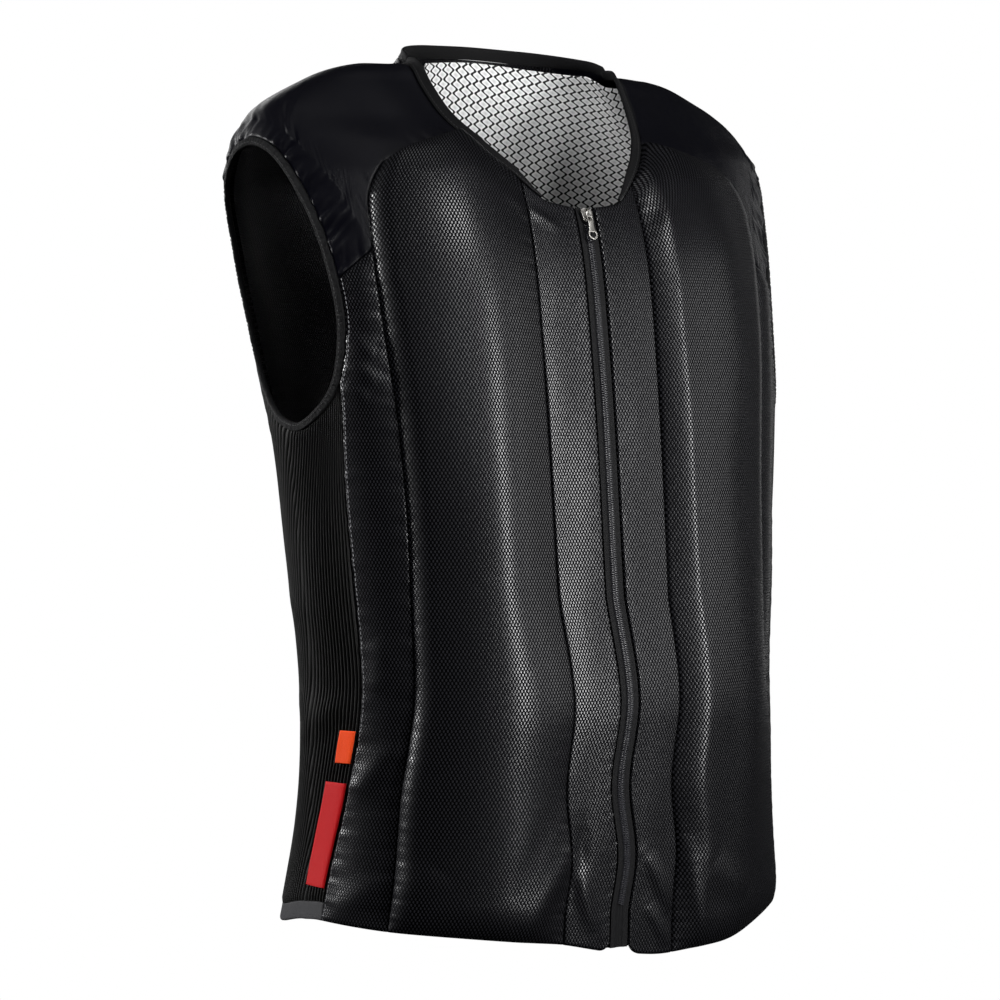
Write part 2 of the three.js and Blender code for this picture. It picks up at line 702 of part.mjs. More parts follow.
// Arch over the slider's face: a long loop in local y and z, seen from the side
function bridgeArch() {
  const sunk = 0.4;
  const half = BRIDGE.length / 2;
  const outer = BRIDGE.hole + BRIDGE.wall;
  const loop = (path, radius, start) => {
    path.moveTo(-half - radius, start);
    path.lineTo(-half - radius, BRIDGE.rise);
    path.absarc(-half, BRIDGE.rise, radius, Math.PI, Math.PI / 2, true);
    path.absarc(half, BRIDGE.rise, radius, Math.PI / 2, 0, true);
    path.lineTo(half + radius, start);
    return path;
  };
  const shape = loop(new THREE.Shape(), outer, -sunk);
  shape.lineTo(half + BRIDGE.hole, -sunk);
  shape.lineTo(half + BRIDGE.hole, BRIDGE.rise);
  shape.absarc(half, BRIDGE.rise, BRIDGE.hole, 0, Math.PI / 2, false);
  shape.absarc(-half, BRIDGE.rise, BRIDGE.hole, Math.PI / 2, Math.PI, false);
  shape.lineTo(-half - BRIDGE.hole, -sunk);
  const options = { depth: BRIDGE.width, bevelEnabled: false, curveSegments: 4 };
  const geometry = new THREE.ExtrudeGeometry(shape, options);
  geometry.translate(0, 0, -BRIDGE.width / 2);
  geometry.rotateY(-Math.PI / 2);
  geometry.rotateX(Math.PI / 2);
  geometry.rotateX(Math.PI);
  return geometry;
}

// Pull tab: a slot for the bridge under its top bar, a narrow neck and a ring end
function pullOutline() {
  const shape = new THREE.Shape();
  const slotFoot = -PULL.barReach - PULL.slotLength;
  const neckTop = slotFoot - PULL.headFoot;
  const ringTop = -PULL.length + PULL.ringWidth * PULL.ringRise;
  const ringMiddle = -PULL.length + PULL.ringWidth / 2;
  const right = [
    [PULL.headWidth / 2, PULL.barReach],
    [PULL.headWidth / 2, neckTop],
    [PULL.neckWidth / 2, neckTop - PULL.taper],
    [(PULL.neckWidth + PULL.neckFlare) / 2, ringTop],
    [PULL.ringWidth / 2, ringMiddle],
  ];
  shape.moveTo(-right[0][0], right[0][1]);
  for (const [x, z] of right) shape.lineTo(x, z);
  shape.absarc(0, ringMiddle, PULL.ringWidth / 2, 0, -Math.PI, true);
  for (const [x, z] of right.slice(1, -1).reverse()) shape.lineTo(-x, z);
  const slot = roundedOutline(new THREE.Path(), PULL.slotWidth, slotFoot, -PULL.barReach, PULL.slotCorner);
  const ring = new THREE.Path();
  ring.absellipse(0, ringMiddle, PULL.ringHole, PULL.ringHole * PULL.holeSquash, 0, 2 * Math.PI);
  shape.holes.push(slot, ring);
  return shape;
}

// Slider with its bridge, and the pull hanging on the bridge's lower end
function zipSliderAndPull() {
  const back = ZIP_TAPE.lift + SEAM_GAP;
  const z = ZIP.top + SEAM_GAP + SLIDER.height / 2;
  const normal = formNormal(0, z);
  const group = new THREE.Group();
  group.position.copy(offForm(0, z, back + SLIDER.depth / 2));
  group.rotation.x = Math.atan2(-normal.z, -normal.y);
  const half = SLIDER.height / 2;
  const outline = roundedOutline(new THREE.Shape(), SLIDER.width, -half, half, SLIDER.corner);
  const arch = bridgeArch().translate(0, -SLIDER.depth / 2, 0);
  const slider = new THREE.Mesh(joined(plate(outline, SLIDER.depth), arch), nickel());
  slider.name = 'zip_slider';
  const pull = new THREE.Mesh(plate(pullOutline(), PULL.wall), nickel());
  pull.name = 'zip_pull';
  pull.position.set(0, -SLIDER.depth / 2 - BRIDGE.rise, -BRIDGE.length / 2);
  group.add(slider, pull);
  return group;
}

const vest = new THREE.Group();
vest.name = 'airbag_vest';
for (const half of sides) {
  vest.add(...frontPanels(half), shoulderYoke(half), ...sidePanel(half), armholeBinding(half));
}
vest.add(backPanel(), backLining(), collar(), ...zipStrips(), zipSliderAndPull());
for (const row of TAGS) vest.add(tag(row));

export default vest;
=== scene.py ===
"""Looks of a sleeveless airbag vest with a front zip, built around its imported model.

Every cloth panel is a patch of one body form, given by an angle round the body and a height, as in
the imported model. The angle is 0 at the zip and grows towards the wearer's left. Lengths are in
millimetres until a mesh is made, and meshes are in metres.
"""
from __future__ import annotations

import logging
import math
from collections.abc import Callable, Sequence
from dataclasses import dataclass, field
from enum import Enum
from typing import ClassVar, NamedTuple

import bpy
import numpy as np
from mathutils import Matrix, Vector


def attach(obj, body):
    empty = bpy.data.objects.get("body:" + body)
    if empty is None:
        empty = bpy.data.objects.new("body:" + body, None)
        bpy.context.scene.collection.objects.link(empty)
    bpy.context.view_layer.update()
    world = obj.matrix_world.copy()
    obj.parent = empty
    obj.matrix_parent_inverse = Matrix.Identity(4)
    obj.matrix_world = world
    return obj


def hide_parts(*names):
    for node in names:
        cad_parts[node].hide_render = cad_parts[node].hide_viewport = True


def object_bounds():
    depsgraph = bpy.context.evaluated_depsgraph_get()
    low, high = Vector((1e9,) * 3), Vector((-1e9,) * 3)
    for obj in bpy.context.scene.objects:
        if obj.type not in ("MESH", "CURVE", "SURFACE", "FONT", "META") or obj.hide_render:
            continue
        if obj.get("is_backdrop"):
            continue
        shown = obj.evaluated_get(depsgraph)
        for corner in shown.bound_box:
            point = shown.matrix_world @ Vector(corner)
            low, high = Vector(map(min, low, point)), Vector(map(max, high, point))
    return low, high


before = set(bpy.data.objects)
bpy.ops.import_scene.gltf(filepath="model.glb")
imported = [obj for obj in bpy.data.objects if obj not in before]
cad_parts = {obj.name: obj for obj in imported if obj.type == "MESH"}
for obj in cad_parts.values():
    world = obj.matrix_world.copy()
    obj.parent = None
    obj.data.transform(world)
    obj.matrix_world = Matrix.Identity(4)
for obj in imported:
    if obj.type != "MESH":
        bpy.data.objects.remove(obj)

LOG = logging.getLogger("airbag_vest")
MM = 0.001
CLOTH_MAP = "cloth"
# Least width of a declared sheet, in metres
NARROWEST_CUT = 0.012
# Angle in degrees above which an edge of a mesh stays sharp
SHARP_EDGE = 55
# How far threads stand off the cloth that they are sewn through
THREAD_RISE = 0.05
# Share of a wall's thickness that a rounded rim takes off each face
RIM_SHARE = 0.35
# Steps of a small solid's flat map, round it and along it
BEAD_STEPS = (0.1, 0.3)
Curve = Callable[[np.ndarray], np.ndarray]
Row = tuple[float, float]


class Body(Enum):
    """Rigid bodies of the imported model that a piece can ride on."""

    VEST = "vest"
    PULL = "pull"


class Half(Enum):
    """The two halves of the vest, as the wearer names them; the value is the sign of x."""

    RIGHT = -1
    LEFT = 1

    @property
    def word(self) -> str:
        """The half's name as it stands in node names."""
        return self.name.lower()


class Edge(Enum):
    """Edges of a panel: left is where its patch starts, right is where it ends."""

    LEFT = "left"
    RIGHT = "right"
    BOTTOM = "bottom"
    TOP = "top"


class Section(NamedTuple):
    """Level section of the body: front and back are distances from the upright axis."""

    height: float
    half_width: float
    front: float
    back: float
    middle: float
    squareness: float


SECTIONS = (
    Section(22, 74, -40, 102.5, 46, 2.0),
    Section(13.5, 84, -36, 105, 46, 2.0),
    Section(6, 91, -28, 108, 46, 2.0),
    Section(4, 124, -22, 109, 46, 2.1),
    Section(-11, 168, -10, 118, 46, 2.2),
    Section(-36, 205, 12, 130, 48, 2.3),
    Section(-60, 216, 39, 139, 50, 2.4),
    Section(-85, 218, 60, 146, 52, 2.4),
    Section(-140, 214, 81, 147, 38, 2.4),
    Section(-190, 209, 90, 138, 22, 2.4),
    Section(-256, 200, 99, 123, 8, 2.4),
    Section(-363, 190, 110, 104, 2, 2.4),
    Section(-469, 183, 121, 91, 0, 2.4),
    Section(-545, 185, 120, 108, 0, 2.4),
    Section(-650, 196, 116, 151, 0, 2.4),
)

# How much higher than the oval the neckline is beside the zip, by angle
NECK_FILL = ((0, 12.5), (3, 8), (6, 1.5), (8, 0))

# How far the zip wanders to the wearer's left, by height
ZIP_SWAY = ((-380, 0), (-450, 7), (-512, -1), (-562, 5), (-600, 0))
SWAY_REACH = 22

# The hem's height, by angle round the whole body
HEM = (
    (-180, -620), (-110, -617), (-82, -605), (-48, -609), (-12, -620), (8, -635), (22, -633),
    (50, -615), (82, -606), (110, -615), (180, -620),
)

# Up-and-down seams of one half, as angles by height
PLACKET_SEAM = ((-84, 9), (-240, 10), (-380, 10.5), (-650, 10))
GROOVE = (
    (-64, 30), (-76, 38), (-104, 43.5), (-140, 45), (-300, 46), (-440, 49.5), (-520, 54), (-650, 56),
)
SIDE_SEAM = ((-228, 62), (-310, 66), (-430, 67), (-510, 73), (-583, 80.5), (-650, 83))
SIDE_SEAM_TOP = SIDE_SEAM[0][0]
BACK_SIDE_SEAM = ((-228, 106), (-330, 121), (-650, 130))
BACK_SEAM_TOP = BACK_SIDE_SEAM[0][0]

# The armhole's outline as angle and height, from its top forwards and round
ARMHOLE = (
    (81, -54), (68, -66), (60, -98), (56.5, -145), (56.5, -190), (62, -228),
    (72, -251), (88, -262), (106, -228), (111, -165), (106, -95), (95, -62),
)
YOKE_TAIL_AT = 3.25 / 12
SIDE_SEAM_AT = 5 / 12
BACK_SEAM_AT = 8 / 12
YOKE_BACK_AT = 10 / 12
ANGLE_MM = 3.5
YOKE_FRONT_AT_NECK = 17
YOKE_BACK_AT_NECK = 128
YOKE_CORNER = -64
YOKE_TAIL_TOP = -136

# The zip: half the gap between the plackets, the coil's top and how far the tapes lie off the form
ZIP_HALF_OPENING = 8
COIL_TOP = -115
TAPE_LIFT = -0.9


class SmoothTable:
    """Smooth curve through rows of place and value that never overshoots between them."""

    def __init__(self, rows: Sequence[Row]) -> None:
        """Work out the slopes at the rows.

        Args:
            rows: pairs of place and value, in any order.
        """
        ordered = np.array(sorted(rows), dtype=float)
        self.at = ordered[:, 0]
        self.value = ordered[:, 1]
        self.step = np.diff(self.at)
        rise = np.diff(self.value) / self.step
        product = rise[:-1] * rise[1:]
        steady = product > 0
        together = np.where(steady, rise[:-1] + rise[1:], 1)
        inner = np.where(steady, 2 * product / together, 0)
        self.slope = np.concatenate([rise[:1], inner, rise[-1:]])

    def __call__(self, where: np.ndarray | float) -> np.ndarray:
        """Give the curve's value.

        Args:
            where: places, held inside the table's own range.

        Returns:
            The values at those places.
        """
        x = np.clip(where, self.at[0], self.at[-1])
        i = np.clip(np.searchsorted(self.at, x) - 1, 0, len(self.step) - 1)
        t = (x - self.at[i]) / self.step[i]
        before = (1 + 2 * t) * (1 - t) ** 2 * self.value[i] + t * (1 - t) ** 2 * self.step[i] * self.slope[i]
        after = t * t * (3 - 2 * t) * self.value[i + 1]
        return before + after + t * t * (t - 1) * self.step[i] * self.slope[i + 1]


def signed_power(base: np.ndarray, power: np.ndarray) -> np.ndarray:
    """Raise to a power and keep the sign."""
    return np.sign(base) * np.abs(base) ** power


def wrap_angle(angle: np.ndarray) -> np.ndarray:
    """Bring angles into the range from -180 to 180 degrees."""
    return angle - 360 * np.round(angle / 360)


def unit(vectors: np.ndarray) -> np.ndarray:
    """Bring vectors to length 1."""
    return vectors / np.linalg.norm(vectors, axis=-1, keepdims=True)


def spot(angle: np.ndarray | float, height: np.ndarray | float) -> np.ndarray:
    """Join angles and heights into places of the form."""
    return np.stack(np.broadcast_arrays(np.asarray(angle, float), np.asarray(height, float)), -1)


@dataclass
class BodyForm:
    """The worn shape that all panels lie on.

    Places are arrays whose last axis holds the angle in degrees and the height.
    """

    neck_half_width: float = 90
    neck_middle: float = 30
    neck_front: float = 103
    neck_back: float = 73
    lowest_neck: float = -215
    columns: dict[str, SmoothTable] = field(init=False)
    sway: SmoothTable = field(init=False)
    hem: SmoothTable = field(init=False)
    neck_fill: SmoothTable = field(init=False)

    def __post_init__(self) -> None:
        """Make the smooth curves through the tables."""
        names = Section._fields[1:]
        self.columns = {n: SmoothTable([(s.height, getattr(s, n)) for s in SECTIONS]) for n in names}
        self.sway = SmoothTable(ZIP_SWAY)
        self.hem = SmoothTable(HEM)
        self.neck_fill = SmoothTable(NECK_FILL)

    def point(self, places: np.ndarray) -> np.ndarray:
        """Give the points of the form.

        Args:
            places: angles and heights.

        Returns:
            Points in millimetres, with the places' own leading axes.
        """
        angle = places[..., 0]
        height = places[..., 1]
        turn = np.radians(angle)
        column = {name: table(height) for name, table in self.columns.items()}
        power = 2 / column["squareness"]
        middle = column["middle"]
        to_front = column["front"] + middle
        to_back = column["back"] - middle
        depth = np.where(np.cos(turn) > 0, to_front, to_back)
        near_zip = np.exp(-((wrap_angle(angle) / SWAY_REACH) ** 2))
        x = column["half_width"] * signed_power(np.sin(turn), power) + self.sway(height) * near_zip
        y = middle - depth * signed_power(np.cos(turn), power)
        return np.stack([x, y, height + 0 * x], -1)

    def normal(self, places: np.ndarray) -> np.ndarray:
        """Give the outward normals at some places.

        Args:
            places: angles and heights.

        Returns:
            Normals of length 1, with the places' own leading axes.
        """
        step = 0.4
        level = places.copy()
        level[..., 1] = np.minimum(level[..., 1], SECTIONS[0].height - step)
        turn = np.array([step, 0.0])
        rise = np.array([0.0, step])
        around = self.point(level + turn) - self.point(level - turn)
        upward = self.point(level + rise) - self.point(level - rise)
        return unit(np.cross(around, upward))

    def off(self, places: np.ndarray, lift: np.ndarray | float) -> np.ndarray:
        """Give points that stand off the form by a lift."""
        return self.point(places) + self.normal(places) * np.asarray(lift)[..., None]

    def neck_height(self, angle: np.ndarray | float) -> np.ndarray:
        """Find where the form meets the neck's oval, by halving.

        Args:
            angle: angles round the body.

        Returns:
            The neck edge's height at each angle.
        """
        angle = np.asarray(angle, float)
        inside = np.full(angle.shape, SECTIONS[0].height, float)
        outside = np.full(angle.shape, self.lowest_neck, float)
        for _ in range(40):
            height = (inside + outside) / 2
            p = self.point(spot(angle, height))
            away = p[..., 1] - self.neck_middle
            depth = np.where(away < 0, self.neck_front, self.neck_back)
            within = np.hypot(p[..., 0] / self.neck_half_width, away / depth) < 1
            inside = np.where(within, height, inside)
            outside = np.where(within, outside, height)
        return inside + self.neck_fill(np.abs(wrap_angle(angle)))

    def angle_at_x(self, x: np.ndarray | float, height: np.ndarray | float) -> np.ndarray:
        """Find the angle of the front place that lies a given x from the middle plane."""
        share = np.abs(x) / self.columns["half_width"](height)
        return np.sign(x) * np.degrees(np.arcsin(share ** (self.columns["squareness"](height) / 2)))


FORM = BodyForm()


def straight(start: Sequence[float], end: Sequence[float]) -> Curve:
    """Make the curve between two places that is straight in angle and height."""
    return lambda t: np.asarray(start) + (np.asarray(end) - np.asarray(start)) * t[:, None]


def backwards(curve: Curve) -> Curve:
    """Run a curve from its end to its start."""
    return lambda t: curve(1 - t)


def other_side(curve: Curve) -> Curve:
    """Take a curve of the wearer's left round the back to the wearer's right."""
    return lambda t: curve(t) * (-1, 1) + (360, 0)


def chained(*parts: tuple[float, Curve]) -> Curve:
    """Join curves end to end.

    Args:
        parts: pairs of a curve's share of the whole and the curve.

    Returns:
        One curve through them all.
    """
    ends = np.cumsum([share for share, _ in parts]) / sum(share for share, _ in parts)
    starts = np.concatenate([[0], ends[:-1]])

    def whole(t: np.ndarray) -> np.ndarray:
        """Look each value of t up in its own part.

        Args:
            t: values from 0 to 1.

        Returns:
            The places.
        """
        places = np.zeros((len(t), 2))
        part_of = np.clip(np.searchsorted(ends, t), 0, len(parts) - 1)
        for k, (_, curve) in enumerate(parts):
            here = part_of == k
            places[here] = curve((t[here] - starts[k]) / (ends[k] - starts[k]))
        return places

    return whole


def seam(table: Sequence[Row], bottom: float, top: float) -> Curve:
    """Follow an up-and-down seam between two heights."""
    angle_at = SmoothTable(table)
    return lambda t: spot(angle_at(bottom + (top - bottom) * t), bottom + (top - bottom) * t)


def neck_part(start: float, end: float) -> Curve:
    """Follow the neck edge between two angles."""
    return lambda t: spot(start + (end - start) * t, FORM.neck_height(start + (end - start) * t))


def hem_part(start: float, end: float, half: Half, rise: float = 0) -> Curve:
    """Follow a half's hem between two angles, raised by a rise.

    Args:
        start: first angle.
        end: last angle.
        half: the half that it belongs to.
        rise: how far above the hem the curve runs.

    Returns:
        The curve of the hem.
    """
    def along(t: np.ndarray) -> np.ndarray:
        """Look the hem up on the side that the half is on."""
        angle = start + (end - start) * t
        return spot(angle, FORM.hem(wrap_angle(half.value * angle)) + rise)

    return along


def armhole_part(start: float, end: float) -> Curve:
    """Follow the armhole's outline, a closed centripetal curve through its rows.

    Args:
        start: first fraction of the outline.
        end: last fraction, which may pass the outline's start.

    Returns:
        The curve between them.
    """
    rows = np.array(ARMHOLE) * (ANGLE_MM, 1)

    def along(t: np.ndarray) -> np.ndarray:
        """Blend the four rows round each value of t.

        Args:
            t: values from 0 to 1.

        Returns:
            The places.
        """
        where = np.mod(start + (end - start) * t, 1) * len(rows)
        i = np.floor(where).astype(int)
        w = (where - i)[:, None]
        p0, p1, p2, p3 = (rows[(i + k) % len(rows)] for k in (-1, 0, 1, 2))
        pairs = ((p0, p1), (p1, p2), (p2, p3))
        d0, d1, d2 = (np.linalg.norm(b - a, axis=1, keepdims=True) ** 0.5 for a, b in pairs)
        leave = ((p1 - p0) / d0 - (p2 - p0) / (d0 + d1) + (p2 - p1) / d1) * d1
        reach = ((p2 - p1) / d1 - (p3 - p1) / (d1 + d2) + (p3 - p2) / d2) * d1
        bend = 3 * (p2 - p1) - 2 * leave - reach
        twist = 2 * (p1 - p2) + leave + reach
        return (p1 + leave * w + bend * w ** 2 + twist * w ** 3) / (ANGLE_MM, 1)

    return along


def at(curve: Curve, t: float) -> np.ndarray:
    """Give one place of a curve."""
    return curve(np.array([t]))[0]


def neck_place(angle: float) -> np.ndarray:
    """Give the place of the neck edge at an angle."""
    return spot(angle, FORM.neck_height(angle))


def hem_meeting(table: Sequence[Row], half: Half) -> np.ndarray:
    """Find the place where an up-and-down seam meets a half's hem.

    Args:
        table: the seam's angles by height.
        half: the half that it belongs to.

    Returns:
        The place.
    """
    angle_at = SmoothTable(table)
    height = HEM[0][1]
    for _ in range(6):
        height = float(FORM.hem(half.value * angle_at(height)))
    return spot(angle_at(height), height)


GROOVE_TOP = spot(SmoothTable(GROOVE)(YOKE_CORNER), YOKE_CORNER)
GROOVE_AT_TAIL = spot(SmoothTable(GROOVE)(YOKE_TAIL_TOP), YOKE_TAIL_TOP)
YOKE_NECK_FRONT = neck_place(YOKE_FRONT_AT_NECK)
YOKE_NECK_BACK = neck_place(YOKE_BACK_AT_NECK)
YOKE_TAIL = at(armhole_part(0, 1), YOKE_TAIL_AT)
YOKE_BACK = at(armhole_part(0, 1), YOKE_BACK_AT)
PLACKET_HEAD = neck_place(PLACKET_SEAM[0][1])


@dataclass(frozen=True)
class Spread:
    """Columns or rows of a panel's grid, as values from 0 at one edge to 1 at the other.

    The pull, from 0 to 1, draws them together at both ends. The inset keeps neighbouring panels
    apart, and a negative one lets them overlap.
    """

    count: int
    pull: float = 0.0
    inset: float = 0.0004

    def values(self) -> np.ndarray:
        """Give the values, one more than the count."""
        t = np.linspace(0, 1, self.count + 1)
        t = t - self.pull * np.sin(2 * np.pi * t) / (2 * np.pi)
        return self.inset + t * (1 - 2 * self.inset)


def rounded(distance: np.ndarray, radius: float) -> np.ndarray:
    """Rise along a quarter circle from 0 at an edge to 1 at a radius from it."""
    t = np.clip(distance / radius, 0, 1)
    return np.sqrt(1 - (1 - t) ** 2)


def run_length(points: np.ndarray, axis: int) -> np.ndarray:
    """Measure the way along each row or column of points, from its first point."""
    steps = np.linalg.norm(np.diff(points, axis=axis), axis=-1)
    start = np.zeros_like(np.take(steps, [0], axis=axis))
    return np.concatenate([start, np.cumsum(steps, axis=axis)], axis=axis)


def patch(
    bottom: Curve, top: Curve, left: Curve, right: Curve, columns: Spread, rows: Spread
) -> np.ndarray:
    """Fill the space between four curves with places.

    Args:
        bottom: curve from the left corner to the right one.
        top: curve that runs the same way.
        left: curve that runs upwards.
        right: curve that runs upwards.
        columns: how the columns are spread.
        rows: how the rows are spread.

    Returns:
        Places by row and column.
    """
    across = columns.values()
    upward = rows.values()
    u = across[None, :, None]
    v = upward[:, None, None]
    ends = np.array([0.0, 1.0])
    low = bottom(ends)
    high = top(ends)
    between = bottom(across)[None] * (1 - v) + top(across)[None] * v
    beside = left(upward)[:, None] * (1 - u) + right(upward)[:, None] * u
    corners = (low[0] * (1 - u) + low[1] * u) * (1 - v) + (high[0] * (1 - u) + high[1] * u) * v
    return between + beside - corners


def mesh_object(
    name: str, points: np.ndarray, faces: list[list[int]], flat_map: np.ndarray,
    sharp: float = SHARP_EDGE,
) -> bpy.types.Object:
    """Make an object from points in millimetres.

    Args:
        name: the object's name.
        points: points, one row each.
        faces: point numbers, one row for each face.
        flat_map: place of each point on the flat cloth, in millimetres.
        sharp: angle in degrees above which an edge stays sharp.

    Returns:
        The object, at the origin and in metres.
    """
    mesh = bpy.data.meshes.new(name)
    mesh.from_pydata((points * MM).tolist(), [], faces)
    corner = np.empty(len(mesh.loops), dtype=np.int32)
    mesh.loops.foreach_get("vertex_index", corner)
    layer = mesh.uv_layers.new(name=CLOTH_MAP)
    layer.data.foreach_set("uv", (flat_map[corner] * MM).astype(np.float32).ravel())
    mesh.shade_smooth()
    mesh.set_sharp_from_angle(angle=math.radians(sharp))
    obj = bpy.data.objects.new(name, mesh)
    bpy.context.scene.collection.objects.link(obj)
    return obj


def shell_object(
    name: str, outer: np.ndarray, inner: np.ndarray, flat_map: np.ndarray, flip: bool
) -> bpy.types.Object:
    """Close an outer and an inner grid of points into one wall.

    Args:
        name: the object's name.
        outer: outer points by row and column.
        inner: inner points by row and column.
        flat_map: place on the flat cloth by row and column.
        flip: whether the grid is seen from behind, as on the wearer's right.

    Returns:
        The wall's object.
    """
    rows, columns = outer.shape[:2]
    count = rows * columns
    ids = np.arange(count).reshape(rows, columns)
    corners = [ids[:-1, :-1], ids[:-1, 1:], ids[1:, 1:], ids[1:, :-1]]
    front = np.stack([c.ravel() for c in corners], 1)
    back = front[:, ::-1] + count
    rim = np.concatenate([ids[0], ids[1:, -1], ids[-1, -2::-1], ids[-2:0:-1, 0]])
    after = np.roll(rim, -1)
    edge = np.stack([rim, rim + count, after + count, after], 1)
    faces = np.concatenate([front, back, edge])
    if flip:
        faces = faces[:, ::-1]
    points = np.concatenate([outer.reshape(-1, 3), inner.reshape(-1, 3)])
    return mesh_object(name, points, faces.tolist(), np.tile(flat_map.reshape(-1, 2), (2, 1)))


def swept_object(
    name: str, loops: np.ndarray, ring: bool, sharp: float = SHARP_EDGE
) -> bpy.types.Object:
    """Close a row of loops of points into one solid.

    Args:
        name: the object's name.
        loops: points by station and place round the loop.
        ring: whether the last station joins the first.
        sharp: angle in degrees above which an edge stays sharp.

    Returns:
        The solid's object.
    """
    stations, around = loops.shape[:2]
    ids = np.arange(stations * around).reshape(stations, around)
    here = ids if ring else ids[:-1]
    ahead = np.roll(ids, -1, axis=0) if ring else ids[1:]
    corners = [here, ahead, np.roll(ahead, -1, axis=1), np.roll(here, -1, axis=1)]
    faces = np.stack([c.ravel() for c in corners], 1).tolist()
    if not ring:
        faces += [ids[0].tolist(), ids[-1, ::-1].tolist()]
    points = loops.reshape(-1, 3)
    if signed_volume(points, faces) < 0:
        faces = [face[::-1] for face in faces]
    flat_map = np.stack([run_length(loops, 1), run_length(loops, 0)], -1).reshape(-1, 2)
    return mesh_object(name, points, faces, flat_map, sharp)


def signed_volume(points: np.ndarray, faces: Sequence[Sequence[int]]) -> float:
    """Measure six times a closed mesh's volume, which is negative when it is inside out.

    Args:
        points: the mesh's points.
        faces: point numbers of each face.

    Returns:
        Six times the volume.
    """
    total = 0.0
    centre = points.mean(0)
    for face in faces:
        corner = points[list(face)] - centre
        total += float((np.cross(corner[1:-1], corner[2:]) @ corner[0]).sum())
    return total


def bead_object(name: str, loops: np.ndarray) -> bpy.types.Object:
    """Join many small closed solids, each a row of loops, into one mesh.

    Args:
        name: the object's name.
        loops: points by solid, station and place round the loop.

    Returns:
        The joined object.
    """
    count, stations, around = loops.shape[:3]
    ids = np.arange(count * stations * around).reshape(count, stations, around)
    corners = [ids[:, :-1], ids[:, 1:], np.roll(ids[:, 1:], -1, 2), np.roll(ids[:, :-1], -1, 2)]
    walls = np.stack([c.ravel() for c in corners], 1).tolist()
    faces = walls + ids[:, 0].tolist() + ids[:, -1, ::-1].tolist()
    points = loops.reshape(-1, 3)
    first = [face for face in faces if max(face) < stations * around]
    if signed_volume(points[:stations * around], first) < 0:
        faces = [face[::-1] for face in faces]
    spread = np.meshgrid(np.arange(around) * BEAD_STEPS[0], np.arange(stations) * BEAD_STEPS[1])
    flat_map = np.tile(np.stack(spread, -1).reshape(-1, 2), (count, 1))
    return mesh_object(name, points, faces, flat_map)


@dataclass(frozen=True)
class Fold:
    """Ridge of cloth between two places of the form, or a dent where its height is negative."""

    start: Row
    end: Row
    height: float
    width: float
    stations: ClassVar[int] = 25
    tip: ClassVar[float] = 0.03
    fullness: ClassVar[float] = 0.6

    def lift(self, base: np.ndarray) -> np.ndarray:
        """Give the fold's lift at points of the form.

        Args:
            base: points by row and column.

        Returns:
            Lifts by row and column, in millimetres.
        """
        t = np.linspace(0, 1, self.stations)
        line = FORM.point(straight(self.start, self.end)(t))
        gap = np.linalg.norm(base[..., None, :] - line, axis=-1)
        taper = np.sin(np.pi * np.clip(t[gap.argmin(-1)], self.tip, 1 - self.tip)) ** self.fullness
        return self.height * np.exp(-((gap.min(-1) / self.width) ** 2)) * taper


